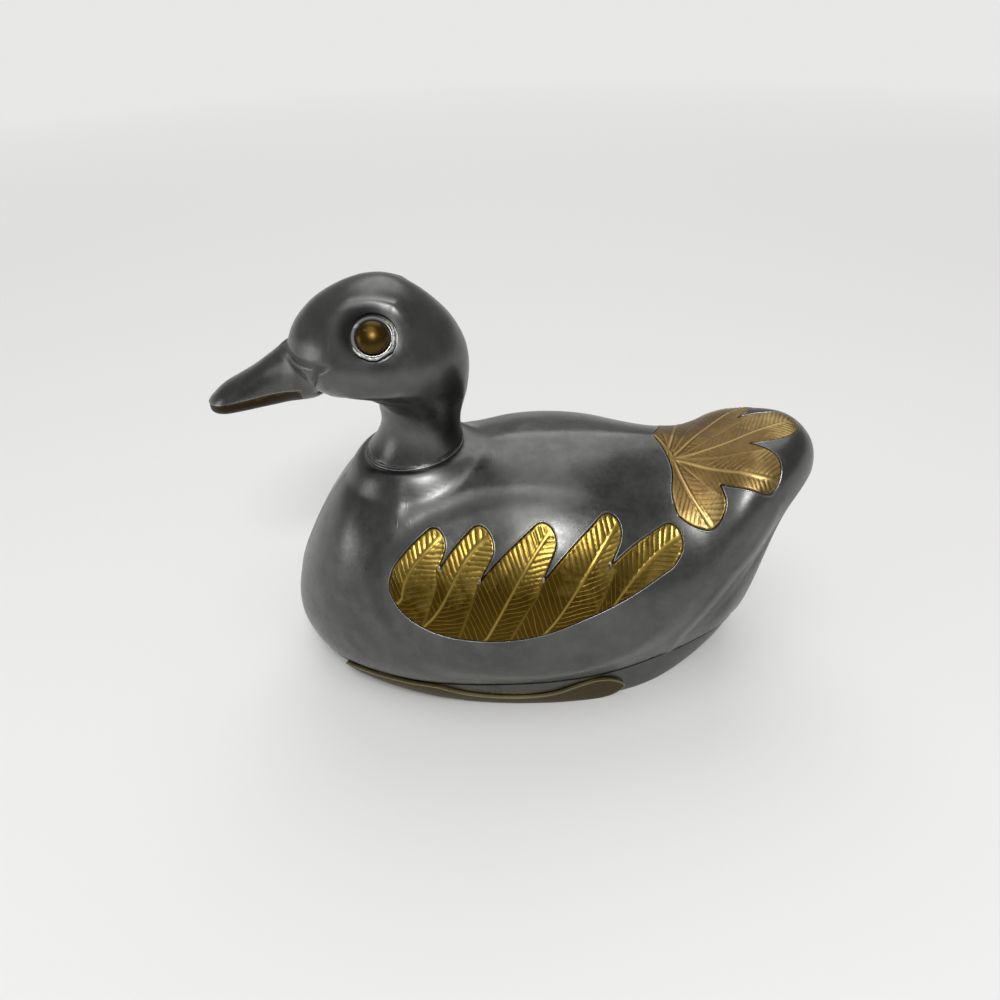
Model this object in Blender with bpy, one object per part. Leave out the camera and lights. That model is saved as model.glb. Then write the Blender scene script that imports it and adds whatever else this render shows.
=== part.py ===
"""Duck-shaped trinket box in cast pewter with inlaid brass feathers.

The box comes apart at a level seam just above the table. The lower piece is a shallow hull
with a flat bottom. The upper piece is a hollow lid shaped as the duck's back, which carries a
separate head casting and the brass inlays.

The duck faces -X and swims level. Y = 0 is its mirror plane, and the origin is on the table
under the middle of its length. Lengths are in metres.
"""

import math

import bmesh
import bpy
from mathutils import Matrix, Vector
from mathutils.geometry import delaunay_2d_cdt

MM = 0.001

# Body, from the breast to the tail tip
BREAST_X = -57.6 * MM
BODY_LENGTH = 127.0 * MM
TAIL_X = BREAST_X + BODY_LENGTH
BODY_WIDTH = 70.6 * MM
BACK_HEIGHT = 61.0 * MM
LID_WALL = 2.5 * MM

# Soft shoulder that the wings lie on
SHOULDER_RISE = 1.0 * MM
SHOULDER_LENGTH = 76.0 * MM
SHOULDER_HEIGHT = 45.0 * MM
SHOULDER_X = 4.0 * MM
SHOULDER_Z = 36.0 * MM

# Seam between the hull and the lid
RIM_HEIGHT = 10.0 * MM
SEAM_GAP = 0.3 * MM
HULL_SET_IN = 0.3 * MM
HULL_WALL = 2.2 * MM
FLOOR_FRONT_SET_IN = 21.4 * MM
FLOOR_BACK_SET_IN = 11.0 * MM
FLOOR_SIDE_SET_IN = 3.9 * MM
FLOOR_FULLNESS = 2.35
BILGE_FULLNESS = 1.55
LIP_HEIGHT = 3.5 * MM
LIP_WALL = 1.4 * MM
LIP_TAPER = 0.3 * MM
LIP_CLEARANCE = 0.8 * MM
FLANK_LEAN = math.radians(47)

# Neck joint
NECK_X = -24.0 * MM
NECK_GAP = 0.3 * MM
NECK_FOOT = 11.6 * MM
NECK_WAIST = 9.3 * MM
NECK_LEAN = math.radians(5)
SEAT_RISE = 0.4 * MM
SEAT_LEDGE = 0.4 * MM
SEAT_BLEND = 5.0 * MM
FOOT_BEAD = 0.5 * MM
SPIGOT_RADIUS = 7.6 * MM
SPIGOT_REACH = 1.2 * MM
SPIGOT_CLEARANCE = 0.3 * MM

# Head
HEAD_HEIGHT = 40.3 * MM
HEAD_FRONT = 24.8 * MM
HEAD_BACK = 13.8 * MM
HEAD_HALF = 16.2 * MM
CROWN_SET = 4.5 * MM

# Bill
BILL_LENGTH = 29.6 * MM
BILL_TIP_X = -69.6 * MM
BILL_TIP_RISE = 11.9 * MM
BILL_TIP_DROP = 1.1 * MM
BILL_RISE = 18.6 * MM
BILL_CHIN_RISE = 3.8 * MM
BILL_HALF = 6.0 * MM
BILL_MIDDLE = 0.42
BILL_TOP_FULLNESS = 1.9
BILL_UNDER_FULLNESS = 2.6
BILL_SIDE_FULLNESS = 2.3
MOUTH_LENGTH = 22.7 * MM
MOUTH_TIP_RISE = 12.9 * MM
MOUTH_CORNER_RISE = 18.0 * MM
MOUTH_GAP = 0.3 * MM
LOWER_BILL_SET_IN = 0.35 * MM

# Eyes
EYE_RADIUS = 3.45 * MM
EYE_BULGE = 2.1 * MM
EYE_X = -28.2 * MM
EYE_RISE = 32.5 * MM
BEZEL_WALL = 0.75 * MM
BEZEL_STAND = 0.35 * MM
EYE_GAP = 0.3 * MM
SOCKET_DEPTH = 1.3 * MM
SOCKET_FLARE = 0.6 * MM

# Brass inlays
INLAY_THICKNESS = 0.9 * MM
INLAY_GAP = 0.3 * MM
INLAY_BED = 0.4 * MM
WING_SET_BACK = 28.6 * MM
WING_FOOT_Z = 28.7 * MM
WING_LENGTH = 65.0 * MM
WING_HEIGHT = 24.0 * MM
FEATHER_TIP = 0.12 * WING_HEIGHT
FAN_SET_FORWARD = 37.8 * MM
FAN_LENGTH = 33.7 * MM
FAN_SPREAD = 0.584
FAN_HALF = FAN_SPREAD * BODY_WIDTH / 2
FAN_TIP = 0.175 * FAN_HALF
BELLY_SET_BACK = 13.9 * MM
BELLY_LENGTH = 70.0 * MM
FEATHER_BOW = 0.05

# How far cutting solids stand clear of the casting that they cut
CUTTER_PROUD = 2.0 * MM

# How finely the castings are faceted
BODY_ALONG_POINTS = 50
BODY_ROUND_POINTS = 44
CAVITY_ALONG_POINTS = 26
CAVITY_ROUND_POINTS = 22
RIM_POINTS = 64
HEAD_RISE_POINTS = 26
HEAD_ROUND_POINTS = 32
BILL_ALONG_POINTS = 16
BILL_ROUND_POINTS = 20
EYE_POINTS = 24
BORE_POINTS = 32
TIP_POINTS = 6
INLAY_GRID = 3.2 * MM
INLAY_EDGE_CLEAR = 0.45 * INLAY_GRID
MITRE_LIMIT = 0.15

# Body outlines: (station, share). A station runs from 0 at the breast to 1 at the tail tip.
# Heights are shares of BACK_HEIGHT, and the beam is a share of half the BODY_WIDTH.
RIDGE = ((0, 0.27), (0.012, 0.40), (0.042, 0.55), (0.09, 0.73), (0.145, 0.872), (0.205, 0.933),
         (0.30, 0.962), (0.38, 0.973), (0.455, 0.99), (0.57, 0.993), (0.70, 0.976), (0.80, 0.966),
         (0.90, 1.008), (0.955, 1.016), (0.983, 0.975), (1, 0.86))
KEEL = ((0, 0.27), (0.017, 0.15), (0.06, 0.033), (0.118, -0.05), (0.22, -0.082), (0.455, -0.095),
        (0.65, -0.09), (0.79, -0.058), (0.877, 0.033), (0.897, 0.10), (0.9065, 0.23),
        (0.918, 0.41), (0.94, 0.645), (0.965, 0.775), (1, 0.86))
BEAM = ((0, 0), (0.012, 0.263), (0.044, 0.462), (0.09, 0.632), (0.159, 0.793), (0.26, 0.935),
        (0.392, 1), (0.517, 1), (0.626, 0.935), (0.735, 0.80), (0.844, 0.635), (0.922, 0.435),
        (0.969, 0.265), (1, 0))
WAIST = ((0, 0.27), (0.09, 0.288), (0.22, 0.345), (0.455, 0.411), (0.65, 0.46), (0.766, 0.551),
         (0.86, 0.69), (0.922, 0.79), (0.969, 0.845), (1, 0.86))

# Fullness of the sections above and below the waist: 2 is an ellipse, more is squarer
BACK_FULLNESS = ((0, 2), (0.22, 2), (0.345, 1.85), (0.455, 2.0), (0.58, 1.95), (0.657, 1.72),
                 (0.727, 1.6), (0.797, 1.9), (0.845, 2.6), (0.907, 2.8), (0.97, 2.4), (1, 2.1))
BELLY_FULLNESS = ((0, 2), (0.61, 2), (0.805, 1.85), (0.907, 1.65), (1, 1.7))

# Head and neck rings: share of HEAD_HEIGHT, reach forward, reach back, half breadth
HEAD_RINGS = (
    (0.00, 1.00 * NECK_FOOT, 1.00 * NECK_FOOT, 1.00 * NECK_FOOT),
    (0.06, 0.81 * NECK_FOOT, 0.96 * NECK_FOOT, 0.90 * NECK_FOOT),
    (0.18, 0.75 * NECK_WAIST, 1.21 * NECK_WAIST, 1.00 * NECK_WAIST),
    (0.27, 0.75 * NECK_WAIST, 1.30 * NECK_WAIST, 1.04 * NECK_WAIST),
    (0.345, 0.31 * HEAD_FRONT, 0.94 * HEAD_BACK, 0.66 * HEAD_HALF),
    (0.42, 0.50 * HEAD_FRONT, 0.98 * HEAD_BACK, 0.77 * HEAD_HALF),
    (0.495, 0.86 * HEAD_FRONT, 1.00 * HEAD_BACK, 0.91 * HEAD_HALF),
    (0.60, 1.00 * HEAD_FRONT, 0.97 * HEAD_BACK, 1.00 * HEAD_HALF),
    (0.725, 0.96 * HEAD_FRONT, 0.81 * HEAD_BACK, 0.945 * HEAD_HALF),
    (0.85, 0.80 * HEAD_FRONT, 0.50 * HEAD_BACK, 0.74 * HEAD_HALF),
    (0.95, 0.535 * HEAD_FRONT, 0.13 * HEAD_BACK, 0.43 * HEAD_HALF),
    (1.00, CROWN_SET, -CROWN_SET, 0.0),
)

# Bill sections: share of BILL_LENGTH from the tip, top and underside as shares of their rise,
# half breadth as a share of BILL_HALF
BILL_SECTIONS = (
    (0.0, 0.03, 0.20, 0.0),
    (0.037, 0.12, -0.05, 0.5),
    (0.15, 0.263, -0.05, 0.9),
    (0.267, 0.365, 0.10, 0.98),
    (0.40, 0.485, 0.29, 1.0),
    (0.533, 0.63, 0.47, 1.0),
    (0.667, 0.78, 0.68, 1.08),
    (0.80, 0.89, 0.84, 1.30),
    (0.90, 0.95, 0.93, 1.42),
    (1.0, 1.0, 1.12, 1.50),
)

# Wing feathers in side view, as shares of WING_LENGTH and WING_HEIGHT.
# Tips are circles: (along, up, radius as a share of FEATHER_TIP).
WING_TIPS = ((0.158, 0.795, 0.85), (0.314, 0.818, 0.99), (0.522, 0.879, 0.97),
             (0.735, 0.871, 1.11), (0.948, 0.70, 1.14))
WING_NOTCHES = ((0.017, 0.592), (0.163, 0.612), (0.298, 0.533), (0.52, 0.608), (0.745, 0.67),
                (0.965, 0.542))
WING_FOOT = ((0.834, 0.40), (0.663, 0.25), (0.509, 0.11), (0.298, 0.035), (0.148, 0.09),
             (0.042, 0.25), (0.001, 0.43))

# Tail feathers in top view, one side, as shares of FAN_LENGTH and FAN_HALF.
# Tips are circles: (along, out, radius as a share of FAN_TIP).
FAN_TIPS = ((0.312, 0.85, 0.89), (0.665, 0.65, 1.0), (0.807, 0.0, 1.58))
FAN_NOTCHES = ((0.11, 0.874), (0.38, 0.68), (0.611, 0.291))
FAN_ROOT = ((0.062, 0.223), (0.098, 0.45), (0.086, 0.748))

# Belly brass on the hull's side: share of BELLY_LENGTH, share of the way down from the rim
BELLY_EDGE = ((0.0, 0.32), (0.08, 0.14), (0.20, 0.10), (0.31, 0.11), (0.38, 0.29), (0.48, 0.40),
              (0.61, 0.44), (0.72, 0.35), (0.82, 0.18), (0.88, 0.12), (0.94, 0.20), (1.0, 0.50),
              (0.96, 0.70), (0.70, 0.73), (0.30, 0.73), (0.08, 0.68), (0.0, 0.50))

PEWTER = ("pewter", (0.20, 0.20, 0.21), 0.38)
BRASS = ("brass", (0.45, 0.31, 0.08), 0.32)
DARK_BRASS = ("dark_brass", (0.20, 0.12, 0.04), 0.35)


def smooth_value(knots, position):
    """Value at a position on a smooth curve through (position, value) knots."""
    last = len(knots) - 2
    index = 0
    while index < last and position > knots[index + 1][0]:
        index += 1

    def chord(k):
        return (knots[k + 1][1] - knots[k][1]) / (knots[k + 1][0] - knots[k][0])

    def slope(k):
        if k == 0:
            return chord(0)
        if k == len(knots) - 1:
            return chord(k - 1)
        before = knots[k][0] - knots[k - 1][0]
        after = knots[k + 1][0] - knots[k][0]
        return (chord(k - 1) * after + chord(k) * before) / (before + after)

    start, end = knots[index], knots[index + 1]
    span = end[0] - start[0]
    t = (position - start[0]) / span
    return ((2 * t**3 - 3 * t**2 + 1) * start[1] + (t**3 - 2 * t**2 + t) * span * slope(index)
            + (3 * t**2 - 2 * t**3) * end[1] + (t**3 - t**2) * span * slope(index + 1))


def smooth_step(value, low, high):
    """0 below low, 1 above high, with a soft change between them."""
    t = min(max((value - low) / (high - low), 0.0), 1.0)
    return t * t * (3 - 2 * t)


def turn_of(station):
    """Angle for a station, so that outlines are round at both ends of the body."""
    return math.acos(min(max(1 - 2 * station, -1.0), 1.0))


def outline(table, scale):
    """Turn a table of (station, share) into (angle, length) knots."""
    return tuple((turn_of(station), share * scale) for station, share in table)


RIDGE_LINE = outline(RIDGE, BACK_HEIGHT)
KEEL_LINE = outline(KEEL, BACK_HEIGHT)
BEAM_LINE = outline(BEAM, BODY_WIDTH / 2)
WAIST_LINE = outline(WAIST, BACK_HEIGHT)
BACK_LINE = outline(BACK_FULLNESS, 1)
BELLY_LINE = outline(BELLY_FULLNESS, 1)


def station_at(x):
    return (x - BREAST_X) / BODY_LENGTH


def section_at(x):
    """Ridge, keel, beam, waist and the two fullnesses of the body section at x."""
    turn = turn_of(station_at(x))
    lines = (RIDGE_LINE, KEEL_LINE, BEAM_LINE, WAIST_LINE, BACK_LINE, BELLY_LINE)
    return [smooth_value(line, turn) for line in lines]


def shoulder(x, z):
    """How far the flank swells out under the wing."""
    along = (x - SHOULDER_X) / (SHOULDER_LENGTH / 2)
    up = (z - SHOULDER_Z) / (SHOULDER_HEIGHT / 2)
    return SHOULDER_RISE * (1 - smooth_step(math.hypot(along, up), 0.8, 1.1))


def seat_height(x):
    """Height of the leaning seat on the lid that the neck stands on."""
    return section_at(NECK_X)[0] + SEAT_RISE + lean_at(x)


def raise_to_seat(x, y, z):
    """Lift the lid's skin to the neck seat, and blend it into the back around it."""
    away = math.hypot(x - NECK_X, y)
    ledge = NECK_FOOT + SEAT_LEDGE
    share = 1 - smooth_step(away, ledge, ledge + SEAT_BLEND)
    return z + max(0.0, seat_height(x) - z) * share


def section_point(section, girth):
    """Y and Z of a body section's edge, where girth is the angle round it."""
    ridge, keel, beam, waist, back, belly = section
    across, up = math.cos(girth), math.sin(girth)
    fullness = back if up >= 0 else belly
    reach = ridge - waist if up >= 0 else waist - keel
    y = beam * math.copysign(abs(across) ** (2 / fullness), across)
    return y, waist + reach * math.copysign(abs(up) ** (2 / fullness), up)


def skin_point(x, girth):
    """Point of the body's skin at x, with its shoulder and the seat for the neck."""
    y, z = section_point(section_at(x), girth)
    across = math.cos(girth)
    y += math.copysign(shoulder(x, z), across) * min(1.0, abs(across) * 4)
    if girth < math.pi:
        z = raise_to_seat(x, y, z)
    return Vector((x, y, z))


def flank_half_width(x, z):
    """Distance from the mirror plane to the flank at x and height z."""
    ridge, keel, beam, waist, back, belly = section_at(x)
    share = (z - waist) / (ridge - waist) if z >= waist else (waist - z) / (waist - keel)
    fullness = back if z >= waist else belly
    return beam * max(0.0, 1 - min(share, 1.0) ** fullness) ** (1 / fullness) + shoulder(x, z)


def back_height(x, y):
    """Height of the back at x and y."""
    ridge, _, beam, waist, back, _ = section_at(x)
    share = min(abs(y) / beam, 1.0)
    return waist + (ridge - waist) * (1 - share**back) ** (1 / back)


def surface_normal(point_at, u, v):
    """Unit normal of a surface given by point_at(u, v), from small steps."""
    step = 0.05 * MM
    along_u = point_at(u + step, v) - point_at(u - step, v)
    along_v = point_at(u, v + step) - point_at(u, v - step)
    return along_u.cross(along_v).normalized()


def flank_point(x, z):
    """Point on the duck's left flank, which faces -Y."""
    return Vector((x, -flank_half_width(x, z), z))


def back_point(x, y):
    return Vector((x, y, back_height(x, y)))


def end_of_rim(inner, outer):
    """The x between two places where the body's keel crosses the rim's height."""
    for _ in range(40):
        middle = (inner + outer) / 2
        if section_at(middle)[1] < RIM_HEIGHT:
            inner = middle
        else:
            outer = middle
    return inner


def rim_half_width(x):
    """Half width of the body at the rim's height."""
    _, keel, beam, waist, _, belly = section_at(x)
    share = (waist - RIM_HEIGHT) / (waist - keel)
    return beam * max(0.0, 1 - share**belly) ** (1 / belly)


RIM_FRONT = end_of_rim(BREAST_X + 0.2 * BODY_LENGTH, BREAST_X)
RIM_BACK = end_of_rim(BREAST_X + 0.7 * BODY_LENGTH, TAIL_X)
RIM_MIDDLE = (RIM_FRONT + RIM_BACK) / 2
RIM_REACH = (RIM_BACK - RIM_FRONT) / 2
RIM_HALF = rim_half_width(RIM_MIDDLE)
FLOOR_MIDDLE = RIM_MIDDLE + (FLOOR_FRONT_SET_IN - FLOOR_BACK_SET_IN) / 2
FLOOR_REACH = RIM_REACH - (FLOOR_FRONT_SET_IN + FLOOR_BACK_SET_IN) / 2
FLOOR_HALF = RIM_HALF - FLOOR_SIDE_SET_IN


def rim_place(turn, inset):
    """Point of the rim's plan at an angle, with the whole plan drawn in by inset."""
    across = rim_half_width(RIM_MIDDLE + RIM_REACH * math.cos(turn)) * (1 - inset / RIM_HALF)
    x = RIM_MIDDLE + (RIM_REACH - inset) * math.cos(turn)
    return Vector((x, math.copysign(across, math.sin(turn))))


def floor_place(turn, inset):
    """Point of the flat bottom's plan at an angle, drawn in by inset."""
    across, along = math.sin(turn), math.cos(turn)
    power = 2 / FLOOR_FULLNESS
    x = (FLOOR_REACH - inset) * math.copysign(abs(along) ** power, along)
    y = (FLOOR_HALF - inset) * math.copysign(abs(across) ** power, across)
    return Vector((FLOOR_MIDDLE + x, y))


def side_place(turn, down, rim_inset, floor_inset, floor_z):
    """Point between the rim, where down is 0, and the bottom, where down is 1."""
    angle = down * math.pi / 2
    reach = 1 - max(math.cos(angle), 0.0) ** (2 / BILGE_FULLNESS)
    drop = max(math.sin(angle), 0.0) ** (2 / BILGE_FULLNESS)
    place = rim_place(turn, rim_inset).lerp(floor_place(turn, floor_inset), reach)
    return Vector((place.x, place.y, RIM_HEIGHT - (RIM_HEIGHT - floor_z) * drop))


HULL_GIRTH = math.hypot(RIM_HEIGHT, FLOOR_SIDE_SET_IN)


def hull_point(x, drop):
    """Point on the hull's left side: x on its rim, and the way down its side from there."""
    turn = -math.acos(min(max((x - RIM_MIDDLE) / RIM_REACH, -1.0), 1.0))
    down = min(max(drop / HULL_GIRTH, 0.0), 1.0)
    return side_place(turn, down, HULL_SET_IN, 0.0, 0.0)


def make_material(finish):
    name, colour, roughness = finish
    material = bpy.data.materials.new(name)
    material.use_nodes = True
    shader = material.node_tree.nodes["Principled BSDF"]
    shader.inputs["Base Color"].default_value = (*colour, 1)
    shader.inputs["Metallic"].default_value = 1.0
    shader.inputs["Roughness"].default_value = roughness
    return material


def make_object(name, mesh_data, finish=None, crease=40):
    """Put a bmesh into the scene as an object, shaded smooth apart from its sharp edges."""
    bmesh.ops.recalc_face_normals(mesh_data, faces=mesh_data.faces)
    if mesh_data.calc_volume(signed=True) < 0:
        bmesh.ops.reverse_faces(mesh_data, faces=mesh_data.faces)
    mesh = bpy.data.meshes.new(name)
    mesh_data.to_mesh(mesh)
    mesh_data.free()
    mesh.shade_smooth()
    mesh.set_sharp_from_angle(angle=math.radians(crease))
    thing = bpy.data.objects.new(name, mesh)
    bpy.context.scene.collection.objects.link(thing)
    if finish is None:
        thing.hide_render = True
        thing.display_type = "WIRE"
    else:
        mesh.materials.append(make_material(finish))
    return thing


def cut(thing, cutter, operation="DIFFERENCE"):
    modifier = thing.modifiers.new(cutter.name, "BOOLEAN")
    modifier.object = cutter
    modifier.operation = operation
    modifier.solver = "EXACT"


def loft(rings):
    """Closed mesh through rings of equally many points; a ring of one point is a tip."""
    mesh = bmesh.new()
    rows = [[mesh.verts.new(point) for point in ring] for ring in rings]
    for lower, upper in zip(rows, rows[1:]):
        count = max(len(lower), len(upper))
        for k in range(count):
            nxt = (k + 1) % count
            corners = [lower[k % len(lower)], lower[nxt % len(lower)],
                       upper[nxt % len(upper)], upper[k % len(upper)]]
            mesh.faces.new(list(dict.fromkeys(corners)))
    for row in (rows[0], rows[-1]):
        if len(row) > 2:
            mesh.faces.new(row)
    return mesh


def body_stations(count):
    """Stations from the breast to the tail tip, close together at both ends."""
    return [(1 - math.cos(math.pi * k / count)) / 2 for k in range(count + 1)]


def section_turns(count):
    return [2 * math.pi * k / count for k in range(count)]


def body_mesh():
    """Closed skin of the whole duck's body."""
    rings = []
    for station in body_stations(BODY_ALONG_POINTS):
        x = BREAST_X + station * BODY_LENGTH
        if station in (0, 1):
            rings.append([Vector((x, 0, section_at(x)[3]))])
            continue
        rings.append([skin_point(x, turn) for turn in section_turns(BODY_ROUND_POINTS)])
    return loft(rings)


def drawn_in(reach):
    """A reach of the skin less the wall. A reach shorter than the wall keeps a share of itself."""
    return math.hypot(reach, LID_WALL) - LID_WALL


def cavity_mesh():
    """Inside of the lid: the body drawn in by the wall on every side."""
    rings = []
    for station in body_stations(CAVITY_ALONG_POINTS):
        x = BREAST_X + LID_WALL + station * (BODY_LENGTH - 2 * LID_WALL)
        ridge, keel, beam, waist, back, belly = section_at(BREAST_X + station * BODY_LENGTH)
        if station in (0, 1):
            rings.append([Vector((x, 0, waist))])
            continue
        inner = (waist + drawn_in(ridge - waist), waist - drawn_in(waist - keel), drawn_in(beam),
                 waist, back, belly)
        turns = section_turns(CAVITY_ROUND_POINTS)
        rings.append([Vector((x, *section_point(inner, turn))) for turn in turns])
    return loft(rings)


def tangent_angle(centre, radius, point, side):
    """Angle on a circle where the line from a point touches it, on the chosen side."""
    towards = Vector(point) - Vector(centre)
    spread = math.acos(min(radius / towards.length, 1.0))
    return math.atan2(towards.y, towards.x) + side * spread


def feather_edge(notches, tips):
    """Outline that climbs from each notch, goes round a feather tip and comes down again."""
    points = []
    for k, (x, y, radius) in enumerate(tips):
        centre = Vector((x, y))
        start = tangent_angle(centre, radius, notches[k], -1)
        end = tangent_angle(centre, radius, notches[k + 1], 1)
        while start < end:
            start += 2 * math.pi
        notch = Vector(notches[k])
        flank = centre + radius * Vector((math.cos(start), math.sin(start))) - notch
        bow = Vector((-flank.y, flank.x)) * FEATHER_BOW
        points += [notch, notch + flank * 0.35 + bow * 0.3, notch + flank * 0.7 + bow]
        for j in range(TIP_POINTS + 1):
            angle = start + (end - start) * j / TIP_POINTS
            points.append(centre + radius * Vector((math.cos(angle), math.sin(angle))))
    points.append(Vector(notches[-1]))
    return points


def smooth_run(points, steps):
    """Points along a smooth run through the given ones, without the first and last."""
    length = [0.0]
    for before, after in zip(points, points[1:]):
        length.append(length[-1] + (Vector(after) - Vector(before)).length)
    xs = tuple((s, point[0]) for s, point in zip(length, points))
    ys = tuple((s, point[1]) for s, point in zip(length, points))
    places = [length[-1] * k / steps for k in range(1, steps)]
    return [Vector((smooth_value(xs, s), smooth_value(ys, s))) for s in places]


def scaled(points, start, size):
    return [(start[0] + u * size[0], start[1] + v * size[1]) for u, v in points]


def tip_circles(tips, start, size, radius):
    return [(start[0] + u * size[0], start[1] + v * size[1], share * radius)
            for u, v, share in tips]


def wing_outline():
    """Wing inlay in side view: five feathers that lean back over a rounded foot."""
    start, size = (BREAST_X + WING_SET_BACK, WING_FOOT_Z), (WING_LENGTH, WING_HEIGHT)
    notches = scaled(WING_NOTCHES, start, size)
    edge = feather_edge(notches, tip_circles(WING_TIPS, start, size, FEATHER_TIP))
    foot = [notches[-1], *scaled(WING_FOOT, start, size), notches[0]]
    return edge + smooth_run(foot, 24)


def fan_outline():
    """Tail inlay in top view: five feathers fanned out from a pointed root."""
    start, size = (TAIL_X - FAN_SET_FORWARD, 0), (FAN_LENGTH, FAN_HALF)
    notches = scaled(FAN_NOTCHES, start, size)
    tips = tip_circles(FAN_TIPS, start, size, FAN_TIP)
    root = smooth_run([start, *scaled(FAN_ROOT, start, size), notches[0]], 8)
    edge = feather_edge(notches + [(notches[-1][0], -notches[-1][1])], tips)
    half = [point for point in root + edge if point.y > 1e-6]
    apex = Vector((tips[-1][0] + tips[-1][2], 0))
    other = [Vector((point.x, -point.y)) for point in reversed(half)]
    return [Vector(start)] + half + [apex] + other


def belly_outline():
    """Belly inlay unrolled: x along the hull and the way round its side from the rim."""
    start = (RIM_FRONT + BELLY_SET_BACK, 0)
    points = scaled(BELLY_EDGE, start, (BELLY_LENGTH, HULL_GIRTH))
    return [Vector(points[0])] + smooth_run(points + [points[0]], 48)


def widen(points, amount):
    """Move an outline outwards by an amount."""
    area = sum(a.x * b.y - b.x * a.y for a, b in zip(points, points[1:] + points[:1]))
    side = 1 if area > 0 else -1
    result = []
    for k, point in enumerate(points):
        before, after = points[k - 1], points[(k + 1) % len(points)]
        first = (point - before).normalized()
        second = (after - point).normalized()
        mean = (first + second).normalized()
        half = max(mean.dot(first), MITRE_LIMIT)
        result.append(point + Vector((mean.y, -mean.x)) * side * amount / half)
    return result


def plate_mesh(points, place):
    """Closed plate over an outline; place(u, v, level) gives its points, level 1 on top."""
    low = [min(point[k] for point in points) for k in (0, 1)]
    high = [max(point[k] for point in points) for k in (0, 1)]
    inner = []
    for i in range(1, int((high[0] - low[0]) / INLAY_GRID) + 1):
        for j in range(1, int((high[1] - low[1]) / INLAY_GRID) + 1):
            spot = Vector((low[0] + i * INLAY_GRID, low[1] + j * INLAY_GRID))
            if clear_of_edge(spot, points):
                inner.append(spot)
    count = len(points)
    flat, _, faces, _, _, _ = delaunay_2d_cdt(points + inner, [], [list(range(count))], 1, 1e-9)
    mesh = bmesh.new()
    levels = [[mesh.verts.new(place(p.x, p.y, level)) for p in flat] for level in (0, 1)]
    for row in levels:
        for face in faces:
            mesh.faces.new([row[k] for k in face])
    for k in range(count):
        nxt = (k + 1) % count
        mesh.faces.new([levels[0][k], levels[0][nxt], levels[1][nxt], levels[1][k]])
    return mesh


def clear_of_edge(spot, points):
    """True for a spot inside the outline that is not crowded against its edge."""
    inside = False
    for before, after in zip(points, points[1:] + points[:1]):
        if (before.y > spot.y) != (after.y > spot.y):
            crossing = before.x + (spot.y - before.y) * (after.x - before.x) / (after.y - before.y)
            inside ^= spot.x < crossing
        edge, arm = after - before, spot - before
        along = min(max(arm.dot(edge) / edge.length_squared, 0.0), 1.0)
        if (arm - edge * along).length < INLAY_EDGE_CLEAR:
            return False
    return inside


def mirrored(mesh):
    for vertex in mesh.verts:
        vertex.co.y = -vertex.co.y
    return mesh


def on_surface(point_at, low, high):
    """Placing function for a plate between two heights over a surface."""

    def place(u, v, level):
        return point_at(u, v) + surface_normal(point_at, u, v) * (high if level else low)

    return place


def wing_plate(margin, low, high):
    return plate_mesh(widen(wing_outline(), margin), on_surface(flank_point, low, high))


def fan_plate(margin, low, high):
    return plate_mesh(widen(fan_outline(), margin), on_surface(back_point, low, high))


def belly_plate(margin, low, high):
    return plate_mesh(widen(belly_outline(), margin), on_surface(hull_point, low, high))


def build_hull():
    """Shallow pewter hull with a flat bottom and a lip that locates the lid."""
    turns = [2 * math.pi * (k + 0.5) / RIM_POINTS for k in range(RIM_POINTS)]
    lip = LID_WALL / math.cos(FLANK_LEAN) + LIP_CLEARANCE
    inner = lip + LIP_WALL
    top = RIM_HEIGHT + LIP_HEIGHT
    rings = [[side_place(turn, k / 6, HULL_SET_IN, 0, 0) for turn in turns]
             for k in range(6, -1, -1)]
    for inset, z in ((lip, RIM_HEIGHT), (lip + LIP_TAPER, top), (inner, top)):
        places = [rim_place(turn, inset) for turn in turns]
        rings.append([Vector((place.x, place.y, z)) for place in places])
    for k in range(5):
        rings.append([side_place(turn, k / 4, inner, HULL_WALL, HULL_WALL) for turn in turns])
    hull = make_object("base_hull", loft(rings), PEWTER)
    for side, flip in (("left", False), ("right", True)):
        inlay = belly_plate(0, -INLAY_THICKNESS, 0)
        recess = belly_plate(INLAY_GAP, -INLAY_THICKNESS - INLAY_BED, CUTTER_PROUD / 2)
        if flip:
            inlay, recess = mirrored(inlay), mirrored(recess)
        make_object(f"belly_inlay_{side}", inlay, BRASS)
        cut(hull, make_object(f"belly_recess_{side}", recess))


def build_lid():
    """Hollow lid with recesses for the brass and a bored seat for the neck."""
    lid = make_object("lid_shell", body_mesh(), PEWTER)
    below = bmesh.new()
    bmesh.ops.create_cube(below, size=1.0)
    edge = RIM_HEIGHT + SEAM_GAP
    size = Vector((2 * BODY_LENGTH, 2 * BODY_WIDTH, 2 * BACK_HEIGHT))
    bmesh.ops.scale(below, vec=size, verts=below.verts)
    bmesh.ops.translate(below, vec=(0, 0, edge - BACK_HEIGHT), verts=below.verts)
    cut(lid, make_object("below_seam", below))
    cut(lid, make_object("lid_cavity", cavity_mesh()))
    floor, top = -INLAY_THICKNESS - INLAY_BED, CUTTER_PROUD
    cut(lid, make_object("wing_recess_left", wing_plate(INLAY_GAP, floor, top)))
    cut(lid, make_object("wing_recess_right", mirrored(wing_plate(INLAY_GAP, floor, top))))
    cut(lid, make_object("tail_recess", fan_plate(INLAY_GAP, floor, top)))
    depth = 3 * LID_WALL + CUTTER_PROUD
    bore = cylinder(SPIGOT_RADIUS + SPIGOT_CLEARANCE, neck_seat() - Vector((0, 0, depth)), 2 * depth)
    cut(lid, make_object("neck_bore", bore))
    make_object("wing_inlay_left", wing_plate(0, -INLAY_THICKNESS, 0), BRASS)
    make_object("wing_inlay_right", mirrored(wing_plate(0, -INLAY_THICKNESS, 0)), BRASS)
    make_object("tail_inlay", fan_plate(0, -INLAY_THICKNESS, 0), BRASS)


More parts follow.
